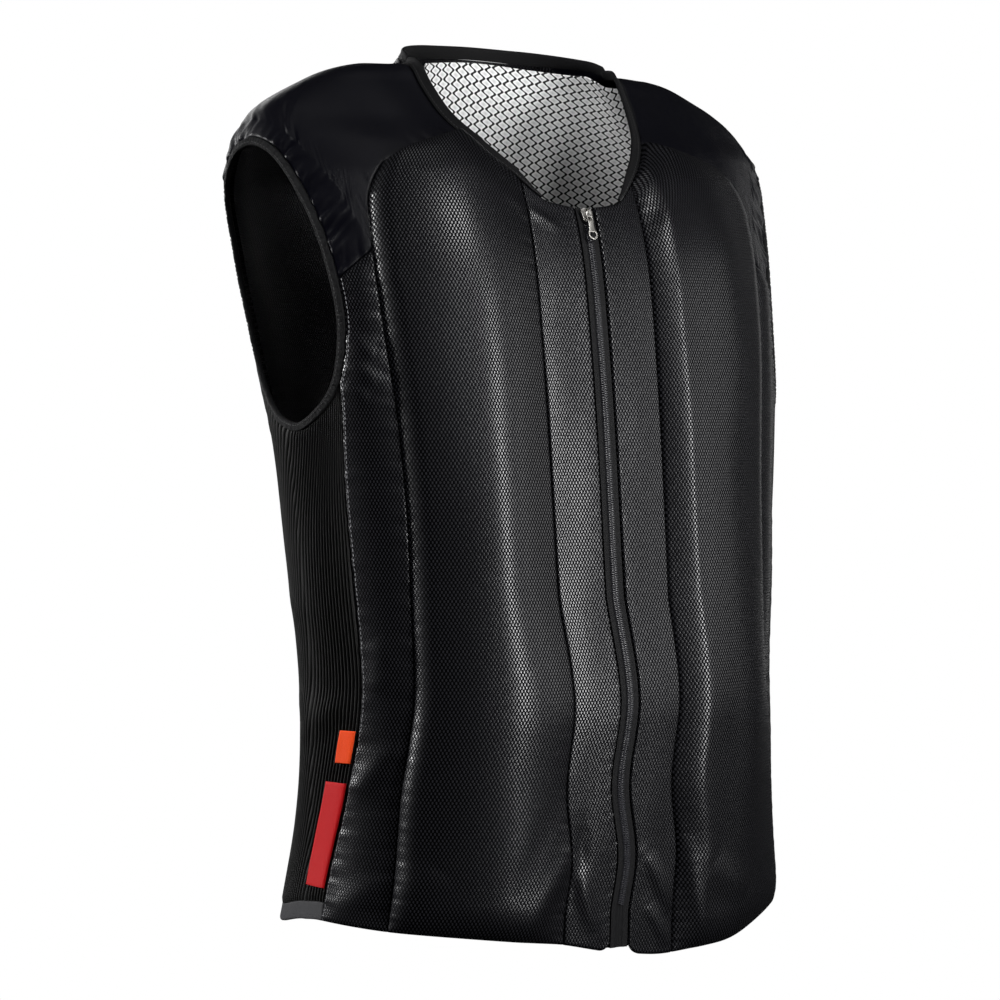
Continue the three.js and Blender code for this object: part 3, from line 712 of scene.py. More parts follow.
@dataclass
class ClothPanel:
    """Cloth wall over a grid of places: rows run upwards, columns run from left to right.

    The places are given for the wearer's left half and turned over for the right one.
    """

    name: str
    places: np.ndarray
    wall: float
    half: Half = Half.LEFT
    base: np.ndarray = field(init=False)
    normal: np.ndarray = field(init=False)
    across: np.ndarray = field(init=False)
    upward: np.ndarray = field(init=False)
    lift: np.ndarray = field(init=False)

    def __post_init__(self) -> None:
        """Lay the grid on the form and measure it."""
        self.places = self.places * (self.half.value, 1)
        self.base = FORM.point(self.places)
        self.normal = FORM.normal(self.places)
        self.across = run_length(self.base, 1)
        self.upward = run_length(self.base, 0)
        self.lift = np.zeros(self.across.shape)

    @property
    def piece_name(self) -> str:
        """The name of the panel's piece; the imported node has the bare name."""
        return f"{self.name}_cloth"

    @property
    def outer(self) -> np.ndarray:
        """The outer face's points."""
        return self.base + self.normal * self.lift[..., None]

    def distance(self, edge: Edge) -> np.ndarray:
        """Give each point's way to one edge.

        Args:
            edge: the edge.

        Returns:
            Ways in millimetres, by row and column.
        """
        ways = {
            Edge.LEFT: self.across,
            Edge.RIGHT: self.across[:, -1:] - self.across,
            Edge.BOTTOM: self.upward,
            Edge.TOP: self.upward[-1:] - self.upward,
        }
        return ways[edge]

    def arch(self, power: float = 1.0) -> np.ndarray:
        """Rise from 0 at the left edge to 1 in the middle and back; a lower power is fuller."""
        share = self.across / self.across[:, -1:]
        return np.maximum(np.sin(np.pi * share), 0) ** power

    def ends(self, top_radius: float, hem_radius: float) -> np.ndarray:
        """Rise from 0 at the top and at the hem to 1 at a radius from each."""
        return rounded(self.distance(Edge.TOP), top_radius) * rounded(self.distance(Edge.BOTTOM), hem_radius)

    def turn_in(self, radius: float, depth: float) -> None:
        """Round the outer face down at all edges, as cloth turns into a seam.

        Args:
            radius: how far from the edge the turn starts.
            depth: how deep it ends.
        """
        for edge in Edge:
            self.lift = self.lift - depth * (1 - rounded(self.distance(edge), radius))

    def pucker(self, edge: Edge, height: float, reach: float, pitch: float, patchy: float = 0) -> None:
        """Gather the cloth into uneven small ridges that run away from an edge.

        Waves of unrelated lengths are added up, so that no two ridges are alike.

        Args:
            edge: the gathered edge.
            height: height of the ridges at the edge.
            reach: how far from the edge they fade.
            pitch: mean distance between ridges.
            patchy: from 0 for even ridges to 1 for ridges that come in bunches.
        """
        along = self.upward if edge in (Edge.LEFT, Edge.RIGHT) else self.across
        away = self.distance(edge)
        turn = 2 * np.pi * along / pitch
        uneven = np.sin(turn) + 0.7 * np.sin(0.61 * turn + 1.3)
        uneven = uneven + 0.5 * np.sin(1.73 * turn + 0.04 * away + 0.4)
        bunch = 1 - patchy * (0.5 + 0.5 * np.sin(0.23 * turn + 0.9)) * (0.6 + 0.4 * np.sin(0.37 * turn))
        slant = np.sin(turn * 0.8 + 0.16 * away + 1.2 * np.sin(0.31 * turn))
        uneven = (1 - patchy) * uneven + patchy * 1.5 * (slant + 0.35 * np.sin(1.9 * turn - 0.1 * away))
        reach = reach * (1 + 0.5 * patchy * np.sin(0.43 * turn + 2))
        fade = bunch * np.exp(-((away / reach) ** 1.5)) * rounded(away + 0.4, 3)
        self.lift = self.lift + height * fade * uneven / 1.6

    def crease(self, folds: Sequence[Fold]) -> None:
        """Add folds to the outer face."""
        for fold in folds:
            self.lift = self.lift + fold.lift(self.base)

    def drift(self, height: float, length: float) -> None:
        """Add the slow unevenness of hanging cloth.

        Args:
            height: height of the waves.
            length: their mean length.
        """
        x = self.base[..., 0] + 0.6 * self.base[..., 1]
        z = self.base[..., 2]
        turn = 2 * np.pi / length
        wave = np.sin(turn * (x + 0.31 * z)) + np.sin(turn * (0.73 * z - 0.4 * x) + 2)
        wave = wave + np.sin(turn * 1.6 * (x - 0.2 * z) + 4)
        self.lift = self.lift + height * wave / 3

    def line(self, edge: Edge, away: float) -> tuple[np.ndarray, np.ndarray]:
        """Follow the outer face at a steady distance from an upright edge, where threads lie.

        Args:
            edge: the left or the right edge.
            away: the distance from it.

        Returns:
            Points from the bottom upwards, and the normals there.
        """
        gap = self.distance(edge)
        order = slice(None) if edge is Edge.LEFT else slice(None, None, -1)

        def pick(values: np.ndarray) -> np.ndarray:
            """Read values where the distance is met, row by row.

            Args:
                values: vectors by row and column.

            Returns:
                One value for each row.
            """
            rows = [
                [np.interp(away, gap[r, order], values[r, order, k]) for k in range(3)]
                for r in range(len(gap))
            ]
            return np.array(rows)

        normal = unit(pick(self.normal))
        return pick(self.outer) + normal * THREAD_RISE, normal

    def flat_size(self) -> tuple[float, float, float]:
        """Measure the flat cut: its width and length in metres and its area in square metres.

        Returns:
            The width, the length and the area.
        """
        side_u = np.diff(self.base[:-1], axis=1)
        side_v = np.diff(self.base[:, :-1], axis=0)
        area = np.linalg.norm(np.cross(side_u, side_v), axis=-1).sum() * MM * MM
        width = self.across[:, -1].max() * MM
        length = self.upward[-1].max() * MM
        return width, length, min(area, width * length)

    def build(self) -> bpy.types.Object:
        """Make the wall's object; its flat map is level where the panel's middle column only rises.

        Returns:
            The wall's object.
        """
        column = self.across.shape[1] // 2
        middle = self.across[:, column][:, None]
        height = self.upward[:, column][:, None] + 0 * self.upward
        level = self.base[..., 2]
        if np.all(np.diff(level[:, column]) > 0):
            beyond = level - np.clip(level, level[0, column], level[-1, column])
            height = np.interp(level, level[:, column], self.upward[:, column]) + beyond
        flat_map = np.stack([self.across - middle, height], -1)
        inner = self.base - self.normal * self.wall
        inner = inner + np.minimum(self.lift + 0.6 * self.wall, 0)[..., None] * self.normal
        return shell_object(self.piece_name, self.outer, inner, flat_map, self.half is Half.RIGHT)


def linear(hex_colour: str) -> tuple[float, float, float, float]:
    """Turn an sRGB hex colour into linear values with full alpha."""
    parts = [int(hex_colour[i:i + 2], 16) / 255 for i in (1, 3, 5)]
    red, green, blue = (p / 12.92 if p <= 0.04045 else ((p + 0.055) / 1.055) ** 2.4 for p in parts)
    return red, green, blue, 1.0


def add_node(
    tree: bpy.types.NodeTree, kind: str, inputs: dict | None = None, **settings: object
) -> bpy.types.Node:
    """Add a node with its settings, values and links.

    Args:
        tree: the material's node tree.
        kind: the node's type, without its leading word.
        inputs: values or output sockets, by the input's name or number.
        settings: the node's own properties.

    Returns:
        The node.
    """
    node = tree.nodes.new("ShaderNode" + kind)
    for key, value in settings.items():
        setattr(node, key, value)
    for key, value in (inputs or {}).items():
        if isinstance(value, bpy.types.NodeSocket):
            tree.links.new(value, node.inputs[key])
        else:
            node.inputs[key].default_value = value
    return node


@dataclass(frozen=True)
class Finish:
    """Material that some pieces share, named for what the real one is."""

    name: str
    slot: str

    def material(self) -> bpy.types.Material:
        """Give the material, made at its first use.

        Returns:
            The material.
        """
        made = bpy.data.materials.get(self.name)
        if made is None:
            made = bpy.data.materials.new(self.name)
            made.use_nodes = True
            made.node_tree.nodes.clear()
            surface = self.surface(made.node_tree)
            add_node(made.node_tree, "OutputMaterial", {"Surface": surface.outputs[0]})
        return made

    def surface(self, tree: bpy.types.NodeTree) -> bpy.types.Node:
        """Make the shader; each kind of finish has its own."""
        raise NotImplementedError

    def wave(
        self, tree: bpy.types.NodeTree, along: bpy.types.NodeSocket, pitch: float
    ) -> bpy.types.NodeSocket:
        """Make a cosine of a length in metres.

        Args:
            tree: the material's node tree.
            along: the length.
            pitch: the wave's length in millimetres.

        Returns:
            The wave, from -1 to 1.
        """
        turn = add_node(tree, "Math", {0: along, 1: 2 * math.pi / (pitch * MM)}, operation="MULTIPLY")
        return add_node(tree, "Math", {0: turn.outputs[0]}, operation="COSINE").outputs[0]

    def blotch(
        self, tree: bpy.types.NodeTree, size: float, low: float, high: float
    ) -> bpy.types.NodeSocket:
        """Make soft noise in the object's own space.

        Args:
            tree: the material's node tree.
            size: size of the blotches in millimetres.
            low: value where the noise is least.
            high: value where it is most.

        Returns:
            The noise between the two values.
        """
        place = add_node(tree, "TexCoord")
        grain = {"Vector": place.outputs["Object"], "Scale": 1 / (size * MM), "Detail": 3.0}
        noise = add_node(tree, "TexNoise", grain)
        spread = {"Value": noise.outputs[0], "From Min": 0.3, "From Max": 0.7, "To Min": low, "To Max": high}
        return add_node(tree, "MapRange", spread).outputs[0]


@dataclass(frozen=True)
class WovenCloth(Finish):
    """Cloth of two crossing sets of threads, drawn as two waves along its flat map.

    Pitches and relief are in millimetres. Low and high are the heights of the crossing waves where the
    hollow ends and the thread starts, and swallow is how much of its gloss a hollow loses, which paints
    shade into the hollows.
    """

    hollow: str
    thread: str
    pitch_across: float
    pitch_along: float
    relief: float
    roughness: float
    gloss: float = 0.5
    low: float = -0.5
    high: float = 0.5
    dull: float = 0.25
    swallow: float = 0.0
    wear_size: float = 45
    least_wear: float = 0.82

    def surface(self, tree: bpy.types.NodeTree) -> bpy.types.Node:
        """Mix the threads' colour by their height, with the same height as relief.

        Args:
            tree: the material's node tree.

        Returns:
            The shader.
        """
        flat = add_node(tree, "UVMap", uv_map=CLOTH_MAP)
        axes = add_node(tree, "SeparateXYZ", {0: flat.outputs[0]})
        across = self.wave(tree, axes.outputs[0], self.pitch_across)
        along = self.wave(tree, axes.outputs[1], self.pitch_along)
        crossing = add_node(tree, "Math", {0: across, 1: along}, operation="MULTIPLY")
        span = {"Value": crossing.outputs[0], "From Min": self.low, "From Max": self.high}
        height = add_node(tree, "MapRange", span, interpolation_type="SMOOTHSTEP")
        worn = self.blotch(tree, self.wear_size, self.least_wear, 1.0)
        share = add_node(tree, "Math", {0: height.outputs[0], 1: worn}, operation="MULTIPLY")
        # A mix of colours has its two colours at inputs 6 and 7, and the result at output 2
        threads = {0: share.outputs[0], 6: linear(self.hollow), 7: linear(self.thread)}
        colour = add_node(tree, "Mix", threads, data_type="RGBA")
        ridge = {"Height": height.outputs[0], "Distance": self.relief * MM, "Strength": 1.0}
        bump = add_node(tree, "Bump", ridge)
        roughest = min(1.0, self.roughness + self.dull)
        shine = {"Value": height.outputs[0], "To Min": roughest, "To Max": self.roughness}
        rough = add_node(tree, "MapRange", shine)
        shader = add_node(tree, "BsdfPrincipled", {
            "Base Color": colour.outputs[2], "Roughness": rough.outputs[0], "Normal": bump.outputs[0],
            "Specular IOR Level": self.gloss,
        })
        if self.swallow:
            # A black metal reflects nothing, so the holes between the threads stay dark in the light:
            # painted shade of the light that the holes trap
            hole = {"Value": height.outputs[0], "To Min": self.swallow, "To Max": 0.0}
            depth = add_node(tree, "MapRange", hole)
            tree.links.new(depth.outputs[0], shader.inputs["Metallic"])
        return shader


# Weaves and loops finer than a millimetre are drawn coarser than real ones, so that they show
# Warp-knit polyester mesh: black threads that shine round staggered holes, so light breaks into dots. Its
# near-black holes are partly the dark cloth seen through them and partly painted shade of the light that
# they trap
KNIT_MESH = WovenCloth(
    "knit_polyester_mesh", "mesh_cloth", "#050507", "#18181b",
    pitch_across=2.5, pitch_along=4.3, relief=0.045, roughness=0.27,
    low=-0.1, high=0.5, dull=0.3, swallow=0.95,
)
# Calendered nylon: a close smooth weave, blue-black with a broad soft gloss
SMOOTH_NYLON = WovenCloth(
    "calendered_nylon", "smooth_nylon", "#020204", "#05050a",
    pitch_across=0.9, pitch_along=0.9, relief=0.03, roughness=0.26, gloss=0.16,
)
# Elastic rib knit: matt yarn loops on raised ribs, almost no gloss
RIB_KNIT = WovenCloth(
    "elastic_rib_knit", "ribbed_knit", "#010101", "#080808",
    pitch_across=1.5, pitch_along=1.4, relief=0.08, roughness=0.5, gloss=0.2,
)
# Knitted elastic band: even matt loops, a little lighter than the panels
BAND_CLOTH = WovenCloth(
    "knitted_elastic_band", "band_cloth", "#040405", "#0c0c0d",
    pitch_across=1.1, pitch_along=1.0, relief=0.1, roughness=0.6, gloss=0.15,
)
# Folded knit hem: the same loops, washed out to a dark grey
HEM_CLOTH = WovenCloth(
    "grey_knit_hem", "band_cloth", "#202021", "#38383a",
    pitch_across=1.1, pitch_along=1.0, relief=0.1, roughness=0.6, gloss=0.15,
)
# Woven polyester zip tape: a close dark grey weave with a slight shine
ZIP_CLOTH = WovenCloth(
    "woven_zip_tape", "zip_cloth", "#060607", "#0e0e10",
    pitch_across=0.8, pitch_along=1.2, relief=0.1, roughness=0.5, gloss=0.15,
)
# Satin ribbon: fine cross threads that give an even, slightly shiny colour
ORANGE_RIBBON = WovenCloth(
    "orange_satin_ribbon", "orange_tag", "#a8320e", "#cc3f12",
    pitch_across=0.7, pitch_along=0.9, relief=0.08, roughness=0.55, gloss=0.2,
)
RED_RIBBON = WovenCloth(
    "red_satin_ribbon", "red_tag", "#7c070b", "#a80c11",
    pitch_across=0.7, pitch_along=0.9, relief=0.08, roughness=0.55, gloss=0.2,
)
# Spun polyester thread: a matt twist that hardly shows at all in black. The light grey one shows as light
# dashes, a painted highlight of the side light on the side seam's real stitches
HIGHLIT_THREAD = WovenCloth(
    "grey_polyester_thread", "mesh_cloth", "#4a4a4c", "#77777a",
    pitch_across=0.4, pitch_along=0.6, relief=0.05, roughness=0.6,
)
BLACK_THREAD = WovenCloth(
    "black_polyester_thread", "mesh_cloth", "#0c0c0c", "#222224",
    pitch_across=0.4, pitch_along=0.6, relief=0.05, roughness=0.5,
)


@dataclass(frozen=True)
class ZigzagLining(Finish):
    """Pale brushed lining with black zigzag lines that meet in diamonds.

    Sizes are in millimetres. The soft edge is where a line's edge starts and ends, in half line widths.
    """

    pale: str = "#e8e8e8"
    centre: str = "#bdbdbd"
    line: str = "#060606"
    pitch: float = 13
    rise: float = 7.1
    swing: float = 1.8
    thickness: float = 2.2
    lean: float = 0.08
    soft_edge: Row = (0.75, 1.35)
    centre_at: float = 0.75
    nap_size: float = 0.8
    nap_height: float = 0.15

    def surface(self, tree: bpy.types.NodeTree) -> bpy.types.Node:
        """Draw the lines by their distance from a zigzag in each folded repeat.

        Args:
            tree: the material's node tree.

        Returns:
            The shader.
        """
        flat = add_node(tree, "UVMap", uv_map=CLOTH_MAP)
        axes = add_node(tree, "SeparateXYZ", {0: flat.outputs[0]})
        slant = {0: axes.outputs[1], 1: self.lean, 2: axes.outputs[0]}
        shear = add_node(tree, "Math", slant, operation="MULTIPLY_ADD")
        folded = add_node(tree, "Math", {0: shear.outputs[0], 1: self.pitch * MM / 2}, operation="PINGPONG")
        steps = add_node(tree, "Math", {0: axes.outputs[1], 1: self.rise * MM / 2}, operation="PINGPONG")
        zigzag = {
            "Value": steps.outputs[0], "From Min": 0.0, "From Max": self.rise * MM / 2,
            "To Min": (self.pitch / 4 - self.swing) * MM, "To Max": (self.pitch / 4 + self.swing) * MM,
        }
        middle = add_node(tree, "MapRange", zigzag, interpolation_type="SMOOTHSTEP")
        off = add_node(tree, "Math", {0: folded.outputs[0], 1: middle.outputs[0]}, operation="SUBTRACT")
        gap = add_node(tree, "Math", {0: off.outputs[0]}, operation="ABSOLUTE")
        ramp = add_node(tree, "ValToRGB")
        stretch = {"Value": gap.outputs[0], "From Min": 0.0, "From Max": self.pitch * MM / 2}
        share = add_node(tree, "MapRange", stretch)
        tree.links.new(share.outputs[0], ramp.inputs[0])
        half = self.thickness / self.pitch
        stops = ramp.color_ramp.elements
        stops[0].position = half * self.soft_edge[0]
        stops[0].color = linear(self.line)
        stops[1].position = half * self.soft_edge[1]
        stops[1].color = linear(self.pale)
        stops.new(self.centre_at).color = linear(self.centre)
        nap = self.blotch(tree, self.nap_size, 0.0, 1.0)
        bump = add_node(tree, "Bump", {"Height": nap, "Distance": self.nap_height * MM, "Strength": 0.6})
        return add_node(tree, "BsdfPrincipled", {
            "Base Color": ramp.outputs[0], "Roughness": 0.85, "Normal": bump.outputs[0],
            "Specular IOR Level": 0.25, "Sheen Weight": 0.1,
        })


@dataclass(frozen=True)
class HardFinish(Finish):
    """Smooth hard material with faint blotches and fine scratches."""

    colour: str
    dull: str
    roughness: float
    metallic: float
    scratch: float = 0.4
    blotch_size: float = 3.0
    scratch_size: float = 0.6

    def surface(self, tree: bpy.types.NodeTree) -> bpy.types.Node:
        """Mix two close colours by blotches, and roughen the surface by finer ones.

        Args:
            tree: the material's node tree.

        Returns:
            The shader.
        """
        share = self.blotch(tree, self.blotch_size, 0.0, 1.0)
        colour = add_node(tree, "ValToRGB")
        tree.links.new(share, colour.inputs[0])
        colour.color_ramp.elements[0].color = linear(self.dull)
        colour.color_ramp.elements[1].color = linear(self.colour)
        smoothest = self.roughness * (1 - self.scratch / 2)
        roughest = self.roughness * (1 + self.scratch)
        rough = self.blotch(tree, self.scratch_size, smoothest, roughest)
        return add_node(tree, "BsdfPrincipled", {
            "Base Color": colour.outputs[0], "Roughness": rough, "Metallic": self.metallic,
        })


# Brushed polyester lining: a soft pale nap under printed lines
ZIGZAG_LINING = ZigzagLining("brushed_zigzag_lining", "pale_lining")
# Extruded nylon coil: dark grey turns with a narrow highlight each
COIL_NYLON = HardFinish(
    "extruded_nylon_coil", "zip_coil_nylon", "#2c2c31", "#1e1e22", roughness=0.3, metallic=0.0
)
# Nickel-plated zinc: a warm grey mirror, slightly dulled by handling
NICKEL = HardFinish(
    "nickel_plated_zinc", "nickel", "#aeaca8", "#9c9994", roughness=0.34, metallic=1.0, scratch=0.15
)


def dress(
    obj: bpy.types.Object, finish: Finish, nodes: Sequence[str] = (), body: Body = Body.VEST
) -> bpy.types.Object:
    """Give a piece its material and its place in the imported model.

    Args:
        obj: the piece.
        finish: its finish.
        nodes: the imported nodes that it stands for.
        body: the body that it rides on.

    Returns:
        The piece.
    """
    obj.data.materials.clear()
    obj.data.materials.append(finish.material())
    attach(obj, body.value)
    if nodes:
        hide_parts(*nodes)
    LOG.info("%s: %d faces, %s", obj.name, len(obj.data.polygons), finish.name)
    return obj


def declare_sheet(panel: ClothPanel, obj: bpy.types.Object) -> None:
    """Say that a panel is a cut sheet of cloth.

    Args:
        panel: the panel, for its flat size.
        obj: its piece.
    """
    width, length, area = panel.flat_size()
    width = max(width, NARROWEST_CUT)
    LOG.info("%s: cut %.3f by %.3f m, %.4f square metres", obj.name, width, length, area)


@dataclass(frozen=True)
class Stitch:
    """Stitch of a sewn row: the distance from stitch to stitch, its length and its width.

    The girth lists places along the stitch, in its lengths, and the share of the full width there.
    """

    pitch: float
    length: float
    width: float
    sides: ClassVar[int] = 6
    flatness: ClassVar[float] = 0.7
    dip: ClassVar[float] = 0.35
    girth: ClassVar[tuple[Row, ...]] = ((-0.5, 0.35), (-0.3, 1.0), (0.3, 1.0), (0.5, 0.35))

    def row(self, name: str, points: np.ndarray, normals: np.ndarray) -> bpy.types.Object:
        """Lay a row of stitches along a line, as one mesh.

        Args:
            name: the object's name.
            points: points along the line.
            normals: normals of the cloth there.

        Returns:
            The row's object.
        """
        way = run_length(points, 0)
        middles = np.arange(self.pitch / 2, way[-1] - self.length / 2, self.pitch)

        def read(values: np.ndarray, where: np.ndarray) -> np.ndarray:
            """Read values along the line."""
            return np.stack([np.interp(where, way, values[:, k]) for k in range(3)], -1)

        around = np.linspace(0, 2 * np.pi, self.sides, endpoint=False)[None, :, None]
        up = unit(read(normals, middles))
        ahead = read(points, middles + self.length / 2) - read(points, middles - self.length / 2)
        side = np.cross(up, unit(ahead))
        turn = np.cos(around) * side[:, None] + self.flatness * np.sin(around) * up[:, None]
        rings = []
        for place, share in self.girth:
            centre = read(points, middles + place * self.length)
            centre = centre - up * self.width * self.dip * (1 - share)
            rings.append(centre[:, None] + turn * self.width / 2 * share)
        return bead_object(name, np.stack(rings, 1))


SEAM_STITCH = Stitch(pitch=3.4, length=2.3, width=0.55)
BAND_STITCH = Stitch(pitch=3.2, length=2.2, width=0.5)

# Folds of each kind of panel by half: start, end, height and width
STRIP_FOLDS = {
    Half.RIGHT: (
        Fold((-57.5, -199), (-48.5, -209), 2.0, 5.5),
        Fold((-59, -214), (-49, -228), 2.6, 6),
        Fold((-61, -230), (-53, -241), 2.0, 5.5),
        Fold((-61.2, -406), (-56.8, -425), 1.6, 9),
        Fold((-56.8, -425), (-64.2, -442), 1.2, 8),
        Fold((-50.8, -474), (-73.5, -518), 2.4, 10),
        Fold((-78, -598), (-50, -566), 1.8, 10),
    ),
    Half.LEFT: (),
}
CHAMBER_FOLDS = {
    Half.RIGHT: (
        Fold((-50, -582), (-42, -560), 2.2, 12),
        Fold((-20, -612), (-9.5, -548), 1.5, 8),
        Fold((-24, -590), (-14, -520), -0.9, 10),
        Fold((-13.5, -95), (-9, -110), 1.0, 6),
        Fold((-47, -150), (-40, -162), 0.9, 7),
    ),
    Half.LEFT: (
        Fold((19, -56), (10, -118), -2.4, 8),
        Fold((30, -600), (18, -570), 2.0, 12),
        Fold((10.5, -545), (17, -622), 1.6, 7),
    ),
}
PLACKET_FOLDS = {
    Half.RIGHT: (
        Fold((-10.5, -555), (-3.4, -616), 1.9, 6),
        Fold((-7.5, -535), (-9.5, -590), -1.6, 6),
        Fold((-9, -105), (-4.2, -119), 1.0, 4),
    ),
    Half.LEFT: (
        Fold((3, -560), (10, -606), 2.6, 6),
        Fold((4.5, -596), (9, -630), 1.8, 5),
    ),
}
SIDE_FOLDS = {
    Half.RIGHT: (
        Fold((-97.8, -479), (-71.8, -448), 1.8, 9),
        Fold((-107, -456), (-73.5, -457), 1.2, 9),
        Fold((-112, -380), (-84, -392), 0.9, 12),
    ),
    Half.LEFT: (),
}


@dataclass
class FrontHalf:
    """One front half: a padded air chamber, a flatter strip beside it and the placket by the zip."""

    half: Half
    mesh_wall: float = 3
    placket_wall: float = 2.4
    chamber_puff: ClassVar[dict[Half, float]] = {Half.LEFT: 10, Half.RIGHT: 14}
    flank_share: float = 0.6
    groove_roll: float = 16
    groove_power: float = 2.2
    valley_width: float = 23
    valley_power: float = 1.32
    top_roll: float = 34
    hem_roll: float = 26
    strip_puff: float = 1.8
    strip_power: float = 0.9
    strip_roll: float = 20
    half_opening: float = ZIP_HALF_OPENING
    corner: float = 9
    zip_stitch_in: float = 3.2
    side_stitch_in: float = 2.6
    chamber_grid: tuple[Spread, Spread] = (Spread(76, 0.75), Spread(230, 0.55))
    strip_grid: tuple[Spread, Spread] = (Spread(48, 0.7), Spread(200, 0.4))
    placket_grid: tuple[Spread, Spread] = (Spread(26, 0.6, 0.002), Spread(230, 0.5))

    def placket_hem(self) -> Curve:
        """Follow the placket's hem, with a round corner at the zip.

        Returns:
            The curve, from the zip outwards.
        """
        foot = hem_meeting(PLACKET_SEAM, self.half)
        start = float(FORM.angle_at_x(self.half_opening, FORM.hem(0)))
        hem = hem_part(start, foot[0], self.half)

        def along(t: np.ndarray) -> np.ndarray:
            """Raise the hem near the zip."""
            places = hem(t)
            away = FORM.point(places)[:, 0] - self.half_opening
            rise = self.corner * (1 - rounded(np.maximum(away, 0), self.corner))
            return places + np.stack([0 * rise, rise], -1)

        return along

    def zip_edge(self) -> Curve:
        """Follow the placket's edge beside the zip, from the hem's corner to the neck.

        Returns:
            The curve, which runs upwards.
        """
        low = at(self.placket_hem(), 0)[1]
        head = FORM.angle_at_x(self.half_opening, FORM.neck_height(0.0))
        high = float(FORM.neck_height(head))

        def along(t: np.ndarray) -> np.ndarray:
            """Stand off the zip's middle by half the opening at each height."""
            height = low + (high - low) * t
            return spot(FORM.angle_at_x(self.half_opening, height), height)

        return along

    def make_chamber(self) -> ClothPanel:
        """Shape the padded chamber, with a round flank at the groove.

        The right one's inner side is an arch. The left one's is a steep flank under a level crown.

        Returns:
            The chamber's panel.
        """
        foot = hem_meeting(PLACKET_SEAM, self.half)
        groove_foot = hem_meeting(GROOVE, self.half)
        places = patch(
            hem_part(foot[0], groove_foot[0], self.half),
            chained(
                (4, neck_part(PLACKET_HEAD[0], YOKE_NECK_FRONT[0])),
                (4, straight(YOKE_NECK_FRONT, GROOVE_TOP)),
            ),
            seam(PLACKET_SEAM, foot[1], PLACKET_HEAD[1]),
            seam(GROOVE, groove_foot[1], GROOVE_TOP[1]),
            *self.chamber_grid,
        )
        panel = ClothPanel(f"front_chamber_{self.half.word}", places, self.mesh_wall, self.half)
        by_groove = np.minimum(panel.distance(Edge.RIGHT) / self.groove_roll, 1)
        by_placket = np.minimum(panel.distance(Edge.LEFT) / self.valley_width, 1)
        arch = panel.arch()
        flank = 1 - (1 - by_groove) ** self.groove_power
        valley = 1 - (1 - by_placket) ** self.valley_power
        outer = (1 - self.flank_share) * arch + self.flank_share * flank
        inner = arch if self.half is Half.RIGHT else valley
        beyond_crown = panel.across > panel.across[:, -1:] / 2
        ends = panel.ends(self.top_roll, self.hem_roll)
        panel.lift = self.chamber_puff[self.half] * ends * np.where(beyond_crown, outer, inner)
        panel.drift(height=0.9, length=95)
        panel.pucker(Edge.RIGHT, height=0.35, reach=10, pitch=9)
        panel.pucker(Edge.LEFT, height=0.25, reach=9, pitch=8)
        panel.crease(CHAMBER_FOLDS[self.half])
        panel.turn_in(radius=2.5, depth=1.2)
        return panel

    def make_strip(self) -> ClothPanel:
        """Shape the strip between the chamber and the side seam.

        Returns:
            The strip's panel.
        """
        groove_foot = hem_meeting(GROOVE, self.half)
        side_foot = hem_meeting(SIDE_SEAM, self.half)
        places = patch(
            hem_part(groove_foot[0], side_foot[0], self.half),
            straight(GROOVE_AT_TAIL, YOKE_TAIL),
            seam(GROOVE, groove_foot[1], GROOVE_AT_TAIL[1]),
            chained(
                (14, seam(SIDE_SEAM, side_foot[1], SIDE_SEAM_TOP)),
                (4, armhole_part(SIDE_SEAM_AT, YOKE_TAIL_AT)),
            ),
            *self.strip_grid,
        )
        panel = ClothPanel(f"front_strip_{self.half.word}", places, self.mesh_wall, self.half)
        ends = panel.ends(self.strip_roll, self.strip_roll)
        panel.lift = self.strip_puff * ends * panel.arch(self.strip_power)
        panel.drift(height=0.9, length=80)
        panel.pucker(Edge.LEFT, height=0.5, reach=14, pitch=15)
        panel.pucker(Edge.RIGHT, height=0.4, reach=12, pitch=12)
        panel.crease(STRIP_FOLDS[self.half])
        panel.turn_in(radius=2.5, depth=1.2)
        return panel

    def make_placket(self) -> ClothPanel:
        """Shape the flat placket.

        Returns:
            The placket's panel.
        """
        hem = self.placket_hem()
        foot = at(hem, 1)
        edge = self.zip_edge()
        places = patch(
            hem,
            neck_part(at(edge, 1)[0], PLACKET_HEAD[0]),
            edge,
            seam(PLACKET_SEAM, foot[1], PLACKET_HEAD[1]),
            *self.placket_grid,
        )
        panel = ClothPanel(f"placket_{self.half.word}", places, self.placket_wall, self.half)
        panel.drift(height=0.35, length=60)
        panel.pucker(Edge.LEFT, height=0.2, reach=7, pitch=7)
        panel.crease(PLACKET_FOLDS[self.half])
        panel.turn_in(radius=1.8, depth=1.0)
        return panel

    def build(self) -> None:
        """Make the three panels and the stitches along the zip and the side seam."""
        word = self.half.word
        chamber = self.make_chamber()
        strip = self.make_strip()
        placket = self.make_placket()
        dress(chamber.build(), KNIT_MESH, [chamber.name])
        for panel in (strip, placket):
            obj = dress(panel.build(), KNIT_MESH, [panel.name])
            declare_sheet(panel, obj)
        zip_line = placket.line(Edge.LEFT, self.zip_stitch_in)
        side_line = strip.line(Edge.RIGHT, self.side_stitch_in)
        dress(SEAM_STITCH.row(f"zip_stitches_{word}", *zip_line), BLACK_THREAD)
        # The side seam's stitches are light grey for a painted highlight of the side light on them
        dress(SEAM_STITCH.row(f"side_stitches_{word}", *side_line), HIGHLIT_THREAD)


